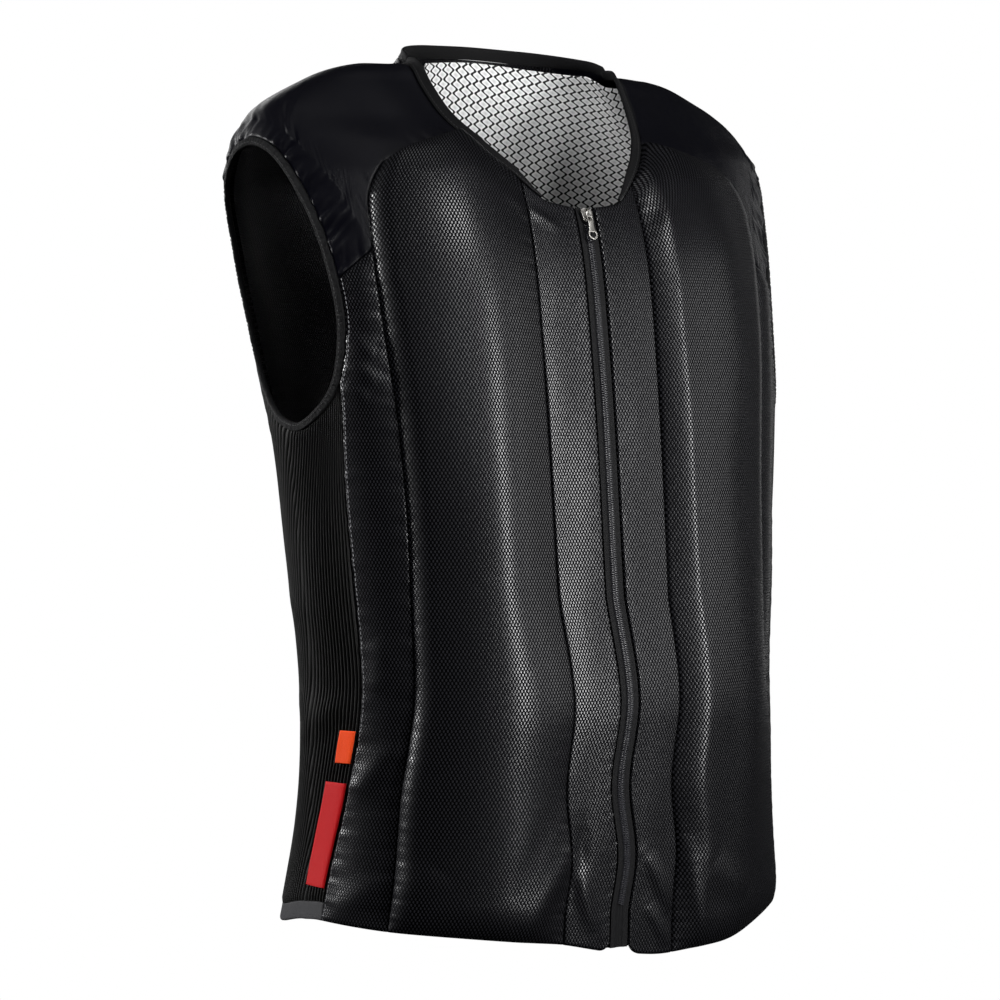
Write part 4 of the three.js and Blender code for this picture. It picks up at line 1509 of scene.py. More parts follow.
@dataclass
class ShoulderYoke:
    """Smooth nylon over one shoulder, gathered where it meets the armhole's band."""

    half: Half
    wall: float = 2.6
    gather: float = 1.9
    reach: float = 22
    pitch: float = 15
    patchy: float = 0.85
    grid: tuple[Spread, Spread] = (Spread(90, 0.5), Spread(150, 0.4))

    def build(self) -> None:
        """Make the yoke."""
        places = patch(
            chained(
                (3, straight(YOKE_NECK_FRONT, GROOVE_TOP)),
                (4, seam(GROOVE, GROOVE_TOP[1], GROOVE_AT_TAIL[1])),
                (2, straight(GROOVE_AT_TAIL, YOKE_TAIL)),
            ),
            straight(YOKE_NECK_BACK, YOKE_BACK),
            neck_part(YOKE_NECK_FRONT[0], YOKE_NECK_BACK[0]),
            backwards(armhole_part(YOKE_BACK_AT - 1, YOKE_TAIL_AT)),
            *self.grid,
        )
        panel = ClothPanel(f"shoulder_yoke_{self.half.word}", places, self.wall, self.half)
        panel.drift(height=0.7, length=70)
        panel.pucker(Edge.RIGHT, self.gather, self.reach, self.pitch, self.patchy)
        panel.pucker(Edge.BOTTOM, height=0.35, reach=10, pitch=11)
        panel.turn_in(radius=2.5, depth=1.2)
        obj = dress(panel.build(), SMOOTH_NYLON, [panel.name])
        declare_sheet(panel, obj)


@dataclass
class SidePanel:
    """Ribbed elastic panel under one arm, with the turned band at its foot."""

    half: Half
    wall: float = 2
    band_height: float = 13
    ribs: int = 34
    rib_depth: float = 2.0
    rib_power: float = 0.8
    rib_level: float = 0.8
    columns_per_rib: int = 10
    column_inset: float = 0.001
    rows: Spread = Spread(70, 0.3, -0.002)
    band_grid: tuple[Spread, Spread] = (Spread(120, 0, -0.008), Spread(14, 0.6, 0.01))

    def build(self) -> None:
        """Make the ribbed panel and its hem band."""
        front_foot = hem_meeting(SIDE_SEAM, self.half)
        back_foot = hem_meeting(BACK_SIDE_SEAM, self.half)
        hem = hem_part(front_foot[0], back_foot[0], self.half)
        band_top = hem_part(front_foot[0], back_foot[0], self.half, self.band_height)
        columns = Spread(self.ribs * self.columns_per_rib, inset=self.column_inset)
        places = patch(
            band_top,
            armhole_part(SIDE_SEAM_AT, BACK_SEAM_AT),
            seam(SIDE_SEAM, at(band_top, 0)[1], SIDE_SEAM_TOP),
            seam(BACK_SIDE_SEAM, at(band_top, 1)[1], BACK_SEAM_TOP),
            columns, self.rows,
        )
        panel = ClothPanel(f"side_panel_{self.half.word}", places, self.wall, self.half)
        turns = np.linspace(0, self.ribs, columns.count + 1)
        ridge = np.abs(np.sin(np.pi * turns)) ** self.rib_power
        panel.lift = panel.lift + self.rib_depth * (ridge[None, :] - self.rib_level)
        panel.drift(height=1.0, length=90)
        panel.crease(SIDE_FOLDS[self.half])
        panel.turn_in(radius=2.2, depth=0.9)
        obj = dress(panel.build(), RIB_KNIT, [panel.name])
        declare_sheet(panel, obj)
        self.build_band(hem, band_top)

    def build_band(self, hem: Curve, band_top: Curve) -> None:
        """Make the hem band.

        Args:
            hem: the band's lower edge.
            band_top: its upper edge.
        """
        sides = [straight(at(hem, end), at(band_top, end)) for end in (0.0, 1.0)]
        places = patch(hem, band_top, *sides, *self.band_grid)
        band = ClothPanel(f"side_hem_{self.half.word}", places, self.wall, self.half)
        band.pucker(Edge.TOP, height=0.12, reach=6, pitch=6)
        band.turn_in(radius=2.0, depth=0.8)
        obj = dress(band.build(), HEM_CLOTH, [band.name])
        declare_sheet(band, obj)


@dataclass
class Back:
    """Padded back panel and the pale lining that lies against its inside."""

    wall: float = 6
    puff: float = 5
    power: float = 0.5
    top_roll: float = 60
    hem_roll: float = 40
    grid: tuple[Spread, Spread] = (Spread(130, 0.5), Spread(190, 0.4))
    lining_wall: float = 1
    lining_gap: float = 1.8
    lining_foot: float = -118
    lining_top_angles: Row = (62, 218)
    lining_foot_angles: Row = (104, 197)
    lining_grid: tuple[Spread, Spread] = (Spread(80, 0, 0.006), Spread(50, 0, 0.009))

    def build(self) -> None:
        """Make the back panel and the lining."""
        self.build_panel()
        self.build_lining()

    def edge(self, foot: np.ndarray) -> Curve:
        """Follow one side of the back: side seam, armhole and yoke seam.

        Args:
            foot: the place where the side seam meets the hem.

        Returns:
            The curve, which runs upwards.
        """
        return chained(
            (12, seam(BACK_SIDE_SEAM, foot[1], BACK_SEAM_TOP)),
            (6, armhole_part(BACK_SEAM_AT, YOKE_BACK_AT)),
            (6, straight(YOKE_BACK, YOKE_NECK_BACK)),
        )

    def build_panel(self) -> None:
        """Make the padded back."""
        foot = hem_meeting(BACK_SIDE_SEAM, Half.LEFT)
        far_foot = hem_meeting(BACK_SIDE_SEAM, Half.RIGHT)
        places = patch(
            hem_part(foot[0], 360 - far_foot[0], Half.LEFT),
            neck_part(YOKE_NECK_BACK[0], 360 - YOKE_NECK_BACK[0]),
            self.edge(foot),
            other_side(self.edge(far_foot)),
            *self.grid,
        )
        panel = ClothPanel("back_panel", places, self.wall)
        panel.lift = self.puff * panel.arch(self.power) * panel.ends(self.top_roll, self.hem_roll)
        panel.drift(height=1.2, length=110)
        panel.pucker(Edge.LEFT, height=0.4, reach=12, pitch=13)
        panel.pucker(Edge.RIGHT, height=0.4, reach=12, pitch=14)
        panel.turn_in(radius=2.5, depth=1.2)
        dress(panel.build(), KNIT_MESH, [panel.name])

    def build_lining(self) -> None:
        """Make the lining, which hangs straight from the neck inside the back."""
        top = neck_part(*self.lining_top_angles)
        start, end = self.lining_foot_angles
        foot = straight((start, self.lining_foot), (end, self.lining_foot))
        sides = [straight(at(foot, t), at(top, t)) for t in (0.0, 1.0)]
        places = patch(foot, top, *sides, *self.lining_grid)
        panel = ClothPanel("back_lining", places, self.lining_wall)
        panel.lift = panel.lift - self.wall - self.lining_gap
        share = np.linspace(0, 1, len(places))[:, None, None]
        face = panel.outer[:1] * (1 - share) + panel.outer[-1:] * share
        panel.base = face
        panel.across = run_length(face, 1)
        panel.upward = run_length(face, 0)
        inner = face - panel.normal * self.lining_wall
        middle = panel.across.shape[1] // 2
        flat_map = np.stack([panel.across - panel.across[:, middle:middle + 1], panel.upward], -1)
        obj = shell_object(panel.piece_name, face, inner, flat_map, False)
        dress(obj, ZIGZAG_LINING, [panel.name])
        declare_sheet(panel, obj)


# The collar's height, by angle from the zip
COLLAR_HEIGHTS = ((6, 2.4), (11, 7), (16, 8), (90, 6.5), (150, 9.5), (180, 9.5))

# How far the collar leans in towards the neck for each unit that it rises, by angle from the zip
COLLAR_LEAN = ((10, 0.7), (60, 0.2))


@dataclass
class Collar:
    """Stand band round the neck, which goes on from the neck edge and turns upright."""

    wall: float = 2.6
    gap: float = 0.15
    end: float = 6
    stations: int = 260
    steps: int = 12
    turn_share: float = 0.75
    edge_share: float = 0.8
    rim: float = 2.0
    sharp: float = 70
    stitch_step: int = 3

    def build(self) -> None:
        """Make the band and the stitches along its foot."""
        angle = np.linspace(self.end, 360 - self.end, self.stations + 1)
        turned = np.abs(wrap_angle(angle))
        here = spot(angle, FORM.neck_height(angle))
        base = FORM.point(here)
        normal = FORM.normal(here)
        ahead = FORM.point(spot(angle + 0.5, FORM.neck_height(angle + 0.5)))
        behind = FORM.point(spot(angle - 0.5, FORM.neck_height(angle - 0.5)))
        inward = unit(np.cross(normal, ahead - behind))
        height = SmoothTable(COLLAR_HEIGHTS)(turned)
        lean = SmoothTable(COLLAR_LEAN)(turned)
        upright = np.array([0, SECTIONS[0].middle, 0]) - base
        upright[:, 2] = 0
        upright = unit(upright) * lean[:, None] + (0, 0, 1)
        full_turn = np.arctan2((upright * normal).sum(-1), (upright * inward).sum(-1))
        outside = []
        inside = []
        point = base + inward * self.gap
        for k in range(self.steps + 1):
            t = min(1.0, k / self.steps / self.turn_share)
            bend = (full_turn * t * t * (3 - 2 * t))[:, None]
            across = normal * np.cos(bend) - inward * np.sin(bend)
            forward = inward * np.cos(bend) + normal * np.sin(bend)
            if k > 0:
                point = point + forward * (height / self.steps)[:, None]
            edge_gap = self.edge_share * (self.steps - k) / self.steps * height
            soft = (RIM_SHARE * self.wall * (1 - rounded(edge_gap, self.rim)))[:, None]
            outside.append(point - across * soft)
            inside.append(point - across * (self.wall - soft))
        loops = np.stack(outside + inside[::-1], 1)
        obj = dress(swept_object("collar_band", loops, False, self.sharp), BAND_CLOTH, ["collar"])
        line = outside[self.stitch_step] + normal * THREAD_RISE
        dress(BAND_STITCH.row("collar_stitches", line, normal), BLACK_THREAD)


@dataclass
class ArmholeBinding:
    """Elastic band round one armhole, just inside the panels' edges."""

    half: Half
    gap: float = 0.3
    width: float = 6
    proud: float = 0.6
    depth: float = 4
    corner: float = 1.2
    corner_steps: int = 4
    ripple_depth: float = 1
    stitch_in: float = 1.8
    stitch_rise: float = 0.1
    stations: int = 420

    def build(self) -> None:
        """Make the band, slightly rippled by its elastic, and its stitches."""
        t = np.linspace(0, 1, self.stations, endpoint=False)
        step = 0.2 / self.stations
        side = (self.half.value, 1)
        here = armhole_part(0, 1)(t) * side
        base = FORM.point(here)
        normal = FORM.normal(here)
        ahead = FORM.point(armhole_part(step, 1 + step)(t) * side)
        behind = FORM.point(armhole_part(-step, 1 - step)(t) * side)
        into_hole = unit(np.cross(ahead - behind, normal)) * -self.half.value
        # Two waves of unrelated counts round the hole, which fade down the band's sides
        ripple = 0.18 * np.sin(2 * np.pi * 95 * t) + 0.12 * np.sin(2 * np.pi * 41 * t + 1)
        stations = []
        for across, lift in self.profile():
            share = max(0.0, lift + self.ripple_depth) / (self.proud + self.ripple_depth)
            stations.append(base + into_hole * across + normal * (lift + ripple * share)[:, None])
        loops = np.stack(stations, 1)
        name = f"armhole_binding_{self.half.word}"
        obj = dress(swept_object(f"{name}_band", loops, True), BAND_CLOTH, [name])
        line = base + into_hole * (self.gap + self.width - self.stitch_in)
        line = line + normal * (self.proud + self.stitch_rise)
        closed = np.concatenate([line, line[:1]])
        up = np.concatenate([normal, normal[:1]])
        dress(BAND_STITCH.row(f"armhole_stitches_{self.half.word}", closed, up), BLACK_THREAD)

    def profile(self) -> list[Row]:
        """List the band's outline with round corners, as ways into the hole and lifts.

        Returns:
            The outline's points, in order.
        """
        low = self.proud - self.depth
        corners = (
            (self.gap + self.width - self.corner, self.proud - self.corner, 0),
            (self.gap + self.width - self.corner, low + self.corner, -90),
            (self.gap + self.corner, low + self.corner, -180),
            (self.gap + self.corner, self.proud - self.corner, -270),
        )
        points = []
        for across, lift, start in corners:
            for k in range(self.corner_steps + 1):
                turn = math.radians(start + 90 - 90 / self.corner_steps * k)
                points.append((across + self.corner * math.cos(turn), lift + self.corner * math.sin(turn)))
        return points


@dataclass
class Tag:
    """Bare ribbon tag sewn into the wearer's right side seam, lying back over the side panel."""

    name: str
    top: float
    bottom: float
    width: float
    finish: Finish
    wall: float = 0.9
    clearance: float = 0.4
    behind_seam: float = 1.2
    step: float = 1.2
    step_width: float = 6
    curl: float = 1.6
    rim: float = 0.8
    grid: tuple[Spread, Spread] = (Spread(24, 0, 0), Spread(60, 0, 0))

    def build(self) -> None:
        """Make the tag, which steps up from the seam and curls a little towards its free end."""
        seam_angle = SmoothTable(SIDE_SEAM)

        def edge(behind: float) -> Curve:
            """Follow the seam at a distance behind it.

            Args:
                behind: the distance in millimetres.

            Returns:
                The curve, which runs upwards.
            """
            def along(t: np.ndarray) -> np.ndarray:
                """Turn the distance into degrees at each height."""
                height = self.bottom + (self.top - self.bottom) * t
                angle = seam_angle(height)
                degree = FORM.point(spot(angle + 0.5, height)) - FORM.point(spot(angle - 0.5, height))
                return spot(angle + behind / np.linalg.norm(degree, axis=-1), height)

            return along

        front = edge(self.behind_seam)
        back = edge(self.behind_seam + self.width)
        places = patch(
            straight(at(front, 0), at(back, 0)), straight(at(front, 1), at(back, 1)), front, back,
            *self.grid,
        )
        panel = ClothPanel(self.name, places, self.wall, Half.RIGHT)
        free = panel.across / panel.across[:, -1:]
        along = panel.upward / panel.upward[-1:]
        # The curl is strongest near the middle of the free end
        uneven = 0.4 + 0.6 * np.sin(2.2 * along + 0.4)
        panel.lift = self.clearance + self.wall + self.step * rounded(panel.across, self.step_width)
        panel.lift = panel.lift + self.curl * free ** 2 * uneven
        to_rim = np.minimum.reduce([panel.distance(side) for side in Edge])
        soft = (RIM_SHARE * self.wall * (1 - rounded(to_rim, self.rim)))[..., None]
        outer = panel.outer - panel.normal * soft
        inner = panel.outer - panel.normal * (self.wall - soft)
        flat_map = np.stack([panel.across, panel.upward], -1)
        obj = dress(shell_object(panel.piece_name, outer, inner, flat_map, True), self.finish, [self.name])
        declare_sheet(panel, obj)


@dataclass
class ZipChain:
    """Two tapes and the closed coil between them.

    The columns are the tape's distances from the zip's middle, closer together where it bends. The
    girth lists places along a turn of the coil and the share of its full thickness there.
    """

    half_opening: float = ZIP_HALF_OPENING
    gap: float = 0.4
    top: float = COIL_TOP
    foot: float = -596
    tape_top: float = -103
    hem_rise: float = 4
    tape_lift: float = TAPE_LIFT
    tape_wall: float = 0.8
    columns: tuple[float, ...] = (0.06, 1.6, 2.6, 3.1, 3.6, 4.6, 5.8)
    rows: int = 300
    dip: float = 0.75
    dip_start: float = 2.4
    dip_width: float = 1.2
    tuck: float = 2.2
    tuck_width: float = 1
    tuck_columns: tuple[float, ...] = (-1, -0.6, -0.4, 2)
    tooth_pitch: float = 1.25
    tooth_shift: ClassVar[dict[Half, float]] = {Half.LEFT: 0.25, Half.RIGHT: 0.75}
    tooth_sides: int = 6
    tooth_half_height: float = 0.36
    tooth_half_depth: float = 0.85
    tooth_sink: float = 0.75
    girth: tuple[Row, ...] = ((-0.55, 0.5), (-0.2, 1.0), (1.2, 1.0), (2.3, 1.0), (2.75, 0.5))

    def build(self) -> None:
        """Make both tapes and the coil."""
        for half in Half:
            self.build_tape(half)
        self.build_coil()

    def build_tape(self, half: Half) -> None:
        """Make one tape, which passes under the coil's edge.

        Args:
            half: the half that it is sewn to.
        """
        name = f"zip_tape_{half.word}"
        height = np.linspace(float(FORM.hem(0)) + self.hem_rise, self.tape_top, self.rows + 1)[:, None]
        edge = self.half_opening
        x = np.array([*self.columns, *(edge + away for away in self.tuck_columns)])[None]
        places = spot(FORM.angle_at_x(x, height), height)
        panel = ClothPanel(name, places, self.tape_wall, half)
        under = self.dip * (1 - rounded(np.maximum(x - self.dip_start, 0), self.dip_width))
        tucked = self.tuck * np.clip((x - edge + self.tuck_width) / (self.tuck_width - self.gap), 0, 1)
        panel.lift = panel.lift + self.tape_lift - under - tucked
        inner = panel.base + panel.normal * (panel.lift - self.tape_wall)[..., None]
        flat_map = np.stack([panel.across, panel.upward], -1)
        obj = shell_object(panel.piece_name, panel.outer, inner, flat_map, half is Half.RIGHT)
        dress(obj, ZIP_CLOTH, [name])
        declare_sheet(panel, obj)

    def build_coil(self) -> None:
        """Make the coil's turns, which lock between each other in the middle."""
        around = np.linspace(0, 2 * np.pi, self.tooth_sides, endpoint=False)[None, :, None]
        solids = []
        for half in Half:
            start = self.foot + self.tooth_pitch * self.tooth_shift[half]
            height = np.arange(start, self.top, self.tooth_pitch)
            middle = spot(0, height)
            out = FORM.normal(middle)
            upward = unit(FORM.point(spot(0, height + 0.5)) - FORM.point(spot(0, height - 0.5)))
            across = np.cross(upward, out) * half.value
            centre = FORM.point(middle) - out * self.tooth_sink
            # The turns of one half run the other way round, so that all are the same way out
            turn = self.tooth_half_height * np.cos(around) * upward[:, None]
            turn = turn + self.tooth_half_depth * np.sin(around * half.value) * out[:, None]
            rings = [(centre + across * x)[:, None] + turn * share for x, share in self.girth]
            solids.append(np.stack(rings, 1))
        dress(bead_object("zip_coil_turns", np.concatenate(solids)), COIL_NYLON, ["zip_coil"])


def select_only(obj: bpy.types.Object) -> None:
    """Make one object active and the only one selected."""
    bpy.ops.object.select_all(action="DESELECT")
    obj.select_set(True)
    bpy.context.view_layer.objects.active = obj


def close_mesh() -> None:
    """Merge the doubles of the mesh in edit mode, turn its faces outwards and leave edit mode."""
    bpy.ops.mesh.select_all(action="SELECT")
    bpy.ops.mesh.remove_doubles(threshold=1e-6)
    bpy.ops.mesh.normals_make_consistent(inside=False)
    bpy.ops.object.mode_set(mode="OBJECT")


@dataclass
class ZipSlider:
    """Metal slider with its bridge, and the pull that hangs on the bridge.

    The pull's outline starts at its top left corner and runs down its right side. Its places are
    measured from the bridge's middle, as are the drops of the ring and of its hole.
    """

    top: float = COIL_TOP
    seam_gap: float = 0.35
    tape_lift: float = TAPE_LIFT
    width: float = 10
    height: float = 11
    depth: float = 2.6
    corner: float = 2.4
    corner_steps: int = 6
    foot_share: float = 0.74
    face_rim: float = 1.1
    face_sink: float = 0.35
    body_edge: float = 0.35
    edge_steps: int = 3
    bevel_from: float = 40
    smooth_below: float = 35
    bridge_width: float = 2
    bridge_hole: float = 1.5
    bridge_wall: float = 1.3
    bridge_length: float = 3
    bridge_rise: float = 1.4
    bridge_sunk: float = 0.4
    bridge_edge: float = 0.3
    bend_steps: int = 6
    pull_wall: float = 1.5
    pull_bevel: float = 0.3
    pull_smooth_below: float = 40
    pull_outline: tuple[Row, ...] = (
        (-2.6, 0.8), (2.6, 0.8), (2.6, -5.1), (2.0, -5.9), (2.2, -9.0), (2.6, -11.2), (3.6, -12.9),
    )
    pull_slot: tuple[Row, ...] = ((-1.5, -0.8), (-1.5, -3.7), (1.5, -3.7), (1.5, -0.8))
    ring_radius: float = 3.8
    ring_drop: float = 14.7
    ring_overlap: float = 0.1
    hole_radii: Row = (2.3, 2.1)
    hole_drop: float = 14.9
    hole_top: tuple[Row, ...] = ((-2.2, -13.3), (-1.8, -12.9), (1.8, -12.9), (2.2, -13.3))

    def frame(self) -> Matrix:
        """Give the slider's own frame: x across, -y outwards and z up the zip.

        Returns:
            The frame, in metres.
        """
        height = self.top + self.seam_gap + self.height / 2
        place = spot(0, height)
        normal = FORM.normal(place)
        origin = FORM.off(place, self.tape_lift + self.seam_gap + self.depth / 2)
        turn = math.atan2(-normal[2], -normal[1])
        return Matrix.Translation(Vector(origin) * MM) @ Matrix.Rotation(turn, 4, "X")

    def build(self) -> None:
        """Make the slider and the pull, and put both in place."""
        slider = self.make_body()
        bridge = self.make_bridge()
        select_only(slider)
        bridge.select_set(True)
        bpy.ops.object.join()
        slider.data.transform(self.frame())
        dress(slider, NICKEL, ["zip_slider"])
        pull = self.make_pull()
        offset = Vector((0, -self.depth / 2 - self.bridge_rise, -self.bridge_length / 2)) * MM
        pull.data.transform(self.frame() @ Matrix.Translation(offset))
        dress(pull, NICKEL, ["zip_pull"], Body.PULL)

    def soften(self, obj: bpy.types.Object, width: float) -> None:
        """Round an object's sharp edges.

        Args:
            obj: the object.
            width: the rounding's width.
        """
        select_only(obj)
        bevel = obj.modifiers.new("round_edges", "BEVEL")
        bevel.width = width * MM
        bevel.segments = self.edge_steps
        bevel.limit_method = "ANGLE"
        bevel.angle_limit = math.radians(self.bevel_from)
        bpy.ops.object.modifier_apply(modifier=bevel.name)
        bpy.ops.object.shade_smooth_by_angle(angle=math.radians(self.smooth_below))

    def make_body(self) -> bpy.types.Object:
        """Shape the slider from a block: narrow at its foot, round corners and a sunk face.

        Returns:
            The slider's object, in its own frame.
        """
        bpy.ops.object.select_all(action="DESELECT")
        bpy.ops.mesh.primitive_cube_add(size=1, location=(0, 0, 0))
        body = bpy.context.object
        body.name = "zip_slider_metal"
        body.data.name = "zip_slider_metal"
        body.scale = (self.width * MM, self.depth * MM, self.height * MM)
        bpy.ops.object.transform_apply(location=False, rotation=False, scale=True)
        self.select_parts(body, lambda edge: edge[0].z < 0 and edge[1].z < 0)
        bpy.ops.transform.resize(value=(self.foot_share, 1, 1))
        bpy.ops.object.mode_set(mode="OBJECT")
        self.select_parts(body, lambda edge: abs(edge[0].y - edge[1].y) > self.depth * MM / 2)
        bpy.ops.mesh.bevel(offset=self.corner * MM, segments=self.corner_steps)
        bpy.ops.object.mode_set(mode="OBJECT")
        for face in body.data.polygons:
            face.select = face.normal.y < -0.9
        bpy.ops.object.mode_set(mode="EDIT")
        bpy.ops.mesh.select_mode(type="FACE")
        bpy.ops.mesh.inset(thickness=self.face_rim * MM, depth=-self.face_sink * MM)
        bpy.ops.object.mode_set(mode="OBJECT")
        self.soften(body, self.body_edge)
        return body

    @staticmethod
    def select_parts(obj: bpy.types.Object, test: Callable[[tuple[Vector, Vector]], bool]) -> None:
        """Enter edit mode with the edges selected that pass a test.

        Args:
            obj: the object.
            test: takes an edge's two ends.
        """
        select_only(obj)
        for item in (*obj.data.vertices, *obj.data.polygons):
            item.select = False
        for edge in obj.data.edges:
            ends = tuple(obj.data.vertices[i].co for i in edge.vertices)
            edge.select = test(ends)
            if edge.select:
                for i in edge.vertices:
                    obj.data.vertices[i].select = True
        bpy.ops.object.mode_set(mode="EDIT")
        bpy.ops.mesh.select_mode(type="EDGE")

    def make_bridge(self) -> bpy.types.Object:
        """Shape the arch over the slider's face: a strip drawn out, turned over and drawn back.

        Returns:
            The arch's object, in the slider's frame.
        """
        middle = self.bridge_length / 2 + self.bridge_hole + self.bridge_wall / 2
        face = -self.depth / 2
        bpy.ops.object.select_all(action="DESELECT")
        start = (0, (face + self.bridge_sunk) * MM, -middle * MM)
        bpy.ops.mesh.primitive_plane_add(size=1, location=start, rotation=(math.radians(90), 0, 0))
        bridge = bpy.context.object
        bridge.scale = (self.bridge_width * MM, self.bridge_wall * MM, 1)
        bpy.ops.object.transform_apply(location=True, rotation=True, scale=True)
        bpy.ops.object.mode_set(mode="EDIT")
        bpy.ops.mesh.select_all(action="SELECT")
        level = (face - self.bridge_rise) * MM
        bend = math.pi / 2
        half = self.bridge_length / 2 * MM
        rise = (self.bridge_sunk + self.bridge_rise) * MM
        bpy.ops.mesh.extrude_region_move(TRANSFORM_OT_translate={"value": (0, -rise, 0)})
        bpy.ops.mesh.spin(steps=self.bend_steps, angle=bend, center=(0, level, -half), axis=(-1, 0, 0))
        bpy.ops.mesh.extrude_region_move(TRANSFORM_OT_translate={"value": (0, 0, 2 * half)})
        bpy.ops.mesh.spin(steps=self.bend_steps, angle=bend, center=(0, level, half), axis=(-1, 0, 0))
        bpy.ops.mesh.extrude_region_move(TRANSFORM_OT_translate={"value": (0, rise, 0)})
        close_mesh()
        self.soften(bridge, self.bridge_edge)
        return bridge

    def make_pull(self) -> bpy.types.Object:
        """Shape the pull from its flat outline: a slot for the bridge, a neck and a ring with a hole.

        Returns:
            The pull's object, with the bridge's middle at its origin.
        """
        def bow(radii: Row, drop: float, overlap: float, count: int) -> list[Row]:
            """Follow the lower half of an oval from right to left."""
            turns = np.linspace(overlap, -math.pi - overlap, count)
            return [(radii[0] * math.cos(a), -drop + radii[1] * math.sin(a)) for a in turns]

        ring = bow((self.ring_radius, self.ring_radius), self.ring_drop, self.ring_overlap, 23)
        left = [(-x, z) for x, z in self.pull_outline[:2:-1]]
        rim = [*self.pull_outline, *ring, *left]
        hole = [*bow(self.hole_radii, self.hole_drop, 0.0, 15), *self.hole_top]
        curve = bpy.data.curves.new("zip_pull_metal", "CURVE")
        curve.dimensions = "2D"
        curve.fill_mode = "BOTH"
        curve.extrude = (self.pull_wall / 2 - self.pull_bevel) * MM
        curve.bevel_depth = self.pull_bevel * MM
        curve.bevel_resolution = 2
        curve.offset = -self.pull_bevel * MM
        for points in (rim, self.pull_slot, hole):
            line = curve.splines.new("POLY")
            line.points.add(len(points) - 1)
            for point, (x, z) in zip(line.points, points):
                point.co = (x * MM, z * MM, 0, 1)
            line.use_cyclic_u = True
        pull = bpy.data.objects.new("zip_pull_metal", curve)
        bpy.context.scene.collection.objects.link(pull)
        select_only(pull)
        bpy.ops.object.convert(target="MESH")
        pull = bpy.context.object
        pull.data.transform(Matrix.Rotation(math.radians(90), 4, "X"))
        bpy.ops.object.mode_set(mode="EDIT")
        close_mesh()
        bpy.ops.object.shade_smooth_by_angle(angle=math.radians(self.pull_smooth_below))
        return pull


def direction(azimuth: float, elevation: float) -> Vector:
    """Point away from the vest: azimuth from the front towards the wearer's left, in degrees."""
    a = math.radians(azimuth)
    e = math.radians(elevation)
    return Vector((math.sin(a) * math.cos(e), -math.cos(a) * math.cos(e), math.sin(e)))


@dataclass(frozen=True)
class SoftLight:
    """Rectangular soft light that faces the vest."""

    name: str
    azimuth: float
    elevation: float
    distance: float
    width: float
    height: float
    watts: float
    mirrored: bool = True

    def add(self, target: Vector) -> None:
        """Hang the light and point it at the target.

        Args:
            target: the point that it faces.
        """
        data = bpy.data.lights.new(self.name, "AREA")
        data.shape = "RECTANGLE"
        data.size = self.width
        data.size_y = self.height
        data.energy = self.watts
        obj = bpy.data.objects.new(self.name, data)
        bpy.context.scene.collection.objects.link(obj)
        obj.visible_glossy = self.mirrored
        away = direction(self.azimuth, self.elevation)
        obj.location = target + away * self.distance
        obj.rotation_euler = away.to_track_quat("Z", "Y").to_euler()


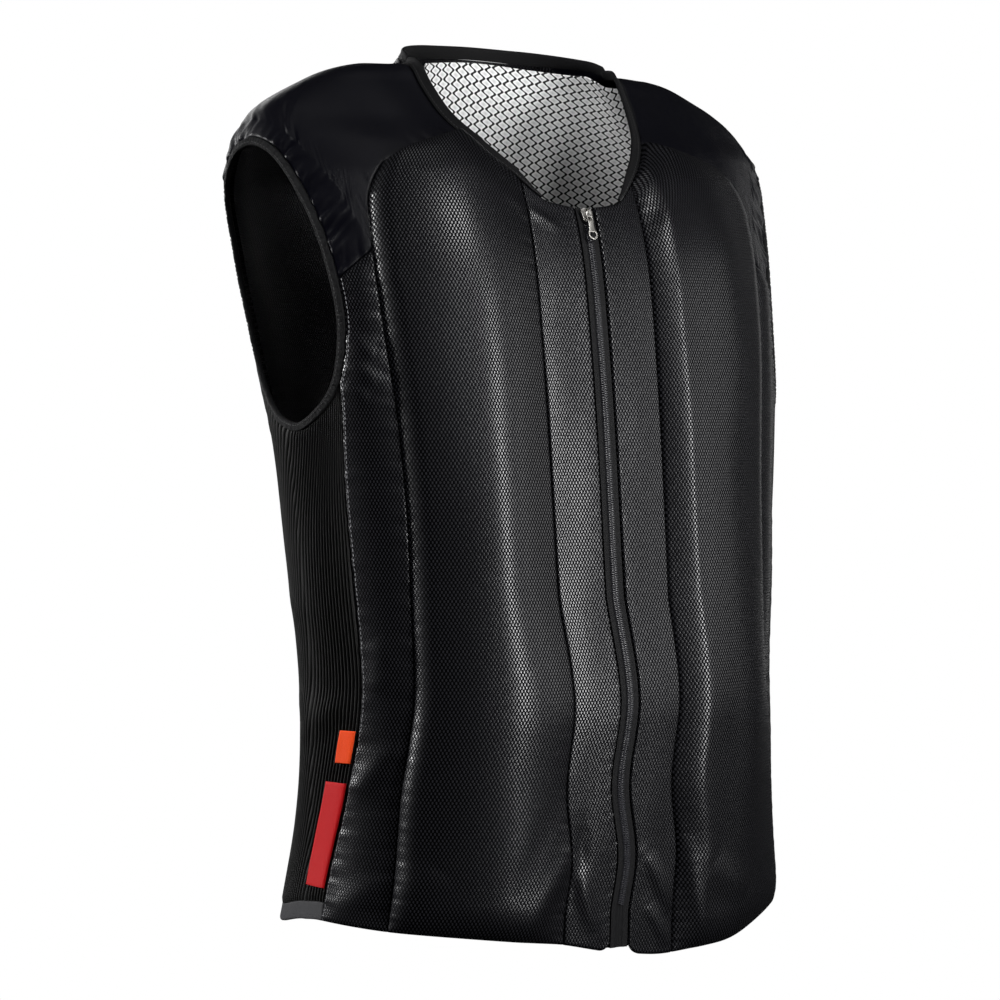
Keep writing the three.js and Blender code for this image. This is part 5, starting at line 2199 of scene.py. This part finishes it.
@dataclass
class Studio:
    """White floor and backdrop, soft lights and the camera."""

    target: tuple[float, float, float] = (-0.0224, 0.0129, -0.314)
    azimuth: float = -30.0
    elevation: float = 2.0
    distance: float = 2.07
    lens: float = 100.98
    sensor: float = 36
    floor_size: float = 12
    floor_drop: float = 0.3
    ambient: float = 0.02
    lights: tuple[SoftLight, ...] = (
        SoftLight("key_soft", 20, 6, 2.4, 0.38, 1.35, 52),
        SoftLight("key_high", 5, 38, 2.4, 0.5, 0.8, 28),
        SoftLight("right_soft", 46, 8, 2.4, 0.5, 1.3, 8),
        SoftLight("left_soft", 62, 8, 2.4, 0.7, 1.3, 6),
        SoftLight("side_strip", -127, 13, 2.4, 0.5, 1.0, 66),
        SoftLight("far_rim", 110, 10, 2.4, 0.4, 1.6, 3),
        SoftLight("top_soft", -10, 78, 2.2, 1.0, 1.0, 3),
        SoftLight("back_soft", 180, 20, 2.6, 1.4, 1.6, 14),
        SoftLight("side_fill", -72, 26, 2.4, 0.9, 0.9, 62, False),
    )

    def build(self) -> None:
        """Set up the floor, the white world, the lights and the camera."""
        self.build_floor()
        self.build_world()
        for light in self.lights:
            light.add(Vector(self.target))
        self.build_camera()

    def build_floor(self) -> None:
        """Lay the white floor under the vest; it gives no light back to the cloth."""
        bpy.ops.object.select_all(action="DESELECT")
        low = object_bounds()[0][2]
        bpy.ops.mesh.primitive_plane_add(size=self.floor_size, location=(0, 0, low - self.floor_drop))
        floor = bpy.context.object
        floor.name = "studio_floor"
        paint = bpy.data.materials.new("white_studio_floor")
        paint.use_nodes = True
        paint.node_tree.nodes.clear()
        glow = add_node(paint.node_tree, "Emission", {"Color": (1, 1, 1, 1), "Strength": 1.0})
        add_node(paint.node_tree, "OutputMaterial", {"Surface": glow.outputs[0]})
        floor.data.materials.append(paint)
        floor.visible_diffuse = False
        floor.visible_glossy = False
        floor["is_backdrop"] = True

    def build_world(self) -> None:
        """Make the world white to the eye and dim as a light."""
        world = bpy.data.worlds.new("white_studio")
        bpy.context.scene.world = world
        world.use_nodes = True
        tree = world.node_tree
        tree.nodes.clear()
        ray = add_node(tree, "LightPath")
        seen = add_node(tree, "Background", {"Color": (1, 1, 1, 1), "Strength": 1.0})
        dim = add_node(tree, "Background", {"Color": (1, 1, 1, 1), "Strength": self.ambient})
        choice = {0: ray.outputs["Is Camera Ray"], 1: dim.outputs[0], 2: seen.outputs[0]}
        both = add_node(tree, "MixShader", choice)
        add_node(tree, "OutputWorld", {"Surface": both.outputs[0]})
        bpy.context.scene.view_settings.view_transform = "Standard"

    def build_camera(self) -> None:
        """Stand the camera where the photograph was taken from."""
        data = bpy.data.cameras.new("camera")
        data.lens = self.lens
        data.sensor_width = self.sensor
        data.clip_start = 0.05
        camera = bpy.data.objects.new("camera", data)
        bpy.context.scene.collection.objects.link(camera)
        camera.location = Vector(self.target) + direction(self.azimuth, self.elevation) * self.distance
        camera.rotation_euler = (math.radians(90 - self.elevation), 0, math.radians(self.azimuth))
        bpy.context.scene.camera = camera


def main() -> None:
    """Build every sub-assembly, then the studio."""
    logging.basicConfig(level=logging.INFO, format="%(message)s")
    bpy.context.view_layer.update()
    for half in Half:
        FrontHalf(half).build()
        ShoulderYoke(half).build()
        SidePanel(half).build()
        ArmholeBinding(half).build()
    Back().build()
    Collar().build()
    ZipChain().build()
    ZipSlider().build()
    Tag("short_tag", top=-470, bottom=-493, width=12, finish=ORANGE_RIBBON).build()
    Tag("long_tag", top=-507, bottom=-582, width=18, finish=RED_RIBBON).build()
    Studio().build()


if __name__ == "__main__":
    main()
